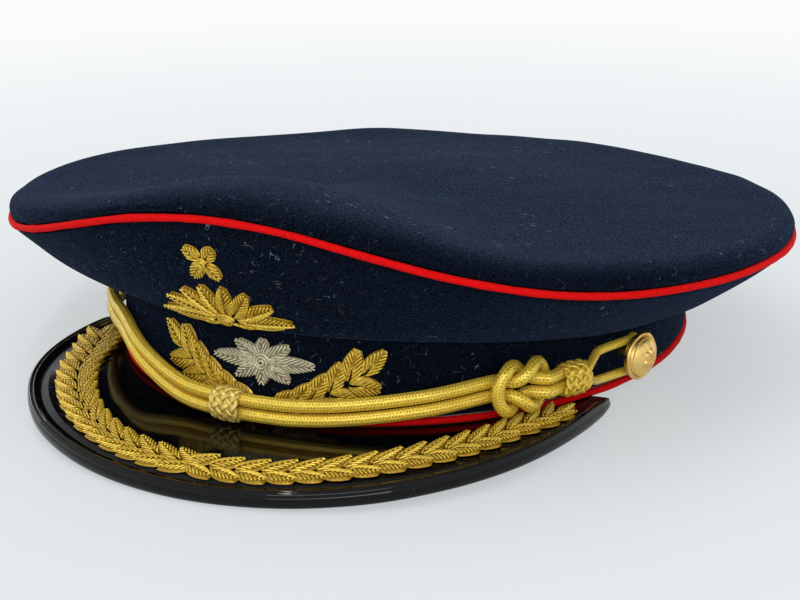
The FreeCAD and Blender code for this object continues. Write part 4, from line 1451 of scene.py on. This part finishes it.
class CAP_OT_piping(bpy.types.Operator):
    """Build the red piping on the rim and under the band"""
    bl_idname, bl_label = "cap.piping", "Piping"

    def execute(self, context):
        felt = red_felt()
        piece("Crown_piping", piping(rim_point, 71), felt)
        piece("Band_piping", piping(band_piping_point, 75), felt)
        return {"FINISHED"}


class CAP_OT_visor(bpy.types.Operator):
    """Build the visor's shell, underside and binding"""
    bl_idname, bl_label = "cap.visor", "Visor"

    def execute(self, context):
        piece("Visor_shell", visor_layer(0.0, SHELL_WALL), patent(border=True))
        leather = grained_leather("visor_underside", linear("#15171a"), 0.9, 0.55)
        piece("Visor_underside", visor_layer(SHELL_WALL + LAYER_GAP, UNDERSIDE_WALL), leather,
              node="visor_lining")
        piece("Visor_binding", visor_binding(), patent("patent_binding", 0.12, 0.04, 0.2))
        return {"FINISHED"}


class CAP_OT_embroidery(bpy.types.Operator):
    """Embroider the visor's garlands and the badge"""
    bl_idname, bl_label = "cap.embroidery", "Embroidery"

    def execute(self, context):
        base, pale = held("gold"), held("silver")
        gold = thread_metal("gold_bullion", base), padding("gold_padding", base)
        silver = thread_metal("silver_bullion", pale, 0.36, 0.4), padding("silver_padding", pale)
        piece("Garland_left", garland(1), gold)
        piece("Garland_right", garland(-1), gold)
        piece("Badge_wreath", wreath(), gold)
        piece("Badge_star", star(), silver)
        piece("Badge_star_boss", star_boss(), silver, node="")
        piece("Badge_palmette", palmette(), gold)
        piece("Badge_rosette", rosette(), gold)
        return {"FINISHED"}


class CAP_OT_cord(bpy.types.Operator):
    """Braid the chin cord and weave its slide knots"""
    bl_idname, bl_label = "cap.cord", "Chin cord"

    def execute(self, context):
        gold = braid()
        woven = thread_metal("gold_knot", held("gold"), 0.32, 0.4)
        paler = np.minimum(mix(np.array(held("gold")), np.array(held("silver")), 0.2) * 1.08, 1)
        pale = thread_metal("pale_gold_knot", tuple(paler), 0.3, 0.4)
        piece("Cord_long", braided(long_path()), gold, "chin_cord")
        piece("Cord_short", braided(short_path()), gold, "chin_cord")
        piece("Front_slide_knot", slide_knot(FRONT_KNOT_ANGLE, 0.0), pale, "front_knot")
        piece("Side_slide_knot", slide_knot(float(reef_angle(SIDE_KNOT_PLACE)), SIDE_KNOT_DEPTH), woven,
              "side_knot")
        return {"FINISHED"}


class CAP_OT_buttons(bpy.types.Operator):
    """Turn the buttons' fronts and finish their backs, shanks and washers"""
    bl_idname, bl_label = "cap.buttons", "Buttons"

    def execute(self, context):
        brass, dull = gilt_brass(), gilt_brass("plain_brass", 0.9)
        for side, word in ((1, "Left"), (-1, "Right")):
            piece(word + "_button_cap", button_cap(side), brass, word.lower() + "_button")
            refinish(word.lower() + "_button_back", dull)
            refinish(word.lower() + "_button_shank", dull)
        refinish("button_washers", dull)
        return {"FINISHED"}


class CAP_OT_inside(bpy.types.Operator):
    """Build the sweatband and lining, and finish what the crown hides"""
    bl_idname, bl_label = "cap.inside", "Inside"

    def execute(self, context):
        leather = grained_leather("sweatband_leather", held("leather"), 0.7, 0.45, 0.06)
        piece("Sweatband", sweatband(), leather)
        piece("Sweatband_stitching", sweatband_stitches(),
              plain_finish("linen_thread", "#c8b48c", 0.2, rough=0.7), node="")
        piece("Crown_lining", crown_lining(), satin())
        film = Finish("clear_film", linear("#f2f0e6"), Roughness=0.12, IOR=1.46, Transmission_Weight=0.9,
                      Coat_Weight=0.4)
        refinish("sweat_shield", film.material)
        refinish("band_stiffener", plain_finish("buckram_board", "#b7ab90", 0.6, rough=0.85))
        refinish("crown_wire", plain_finish("spring_steel", "#8f9296", 0.4, 1.0, 0.32, 0.01))
        refinish("crown_wire_ferrule", plain_finish("tinned_steel", "#b9bcbe", 0.4, 1.0, 0.4, 0.01))
        refinish("front_stay", plain_finish("celluloid_stay", "#d8d2be", 0.7, rough=0.4, depth=0.02))
        return {"FINISHED"}


class CAP_PT_panel(bpy.types.Panel):
    """Lists the cap's sizes, colours and steps"""
    bl_idname, bl_label = "CAP_PT_panel", "Peaked cap"
    bl_space_type, bl_region_type, bl_category = "VIEW_3D", "UI", "Cap"

    def draw(self, context):
        for group in (context.scene.cap_sizes, context.scene.cap_colours):
            box = self.layout.box()
            for name in group.__annotations__:
                box.prop(group, name)
        for step in STEPS:
            self.layout.operator(step.bl_idname)


STEPS = (CAP_OT_stage, CAP_OT_cloth, CAP_OT_piping, CAP_OT_visor, CAP_OT_embroidery, CAP_OT_cord,
         CAP_OT_buttons, CAP_OT_inside)
CLASSES = (CapSizes, CapColours, *STEPS, CAP_PT_panel)


def register():
    for made in CLASSES:
        bpy.utils.register_class(made)
    bpy.types.Scene.cap_sizes = bpy.props.PointerProperty(type=CapSizes)
    bpy.types.Scene.cap_colours = bpy.props.PointerProperty(type=CapColours)


def unregister():
    del bpy.types.Scene.cap_sizes
    del bpy.types.Scene.cap_colours
    for made in reversed(CLASSES):
        bpy.utils.unregister_class(made)


def main():
    register()
    for step in STEPS:
        group, name = step.bl_idname.split(".")
        getattr(getattr(bpy.ops, group), name)()


if __name__ == "__main__":
    main()
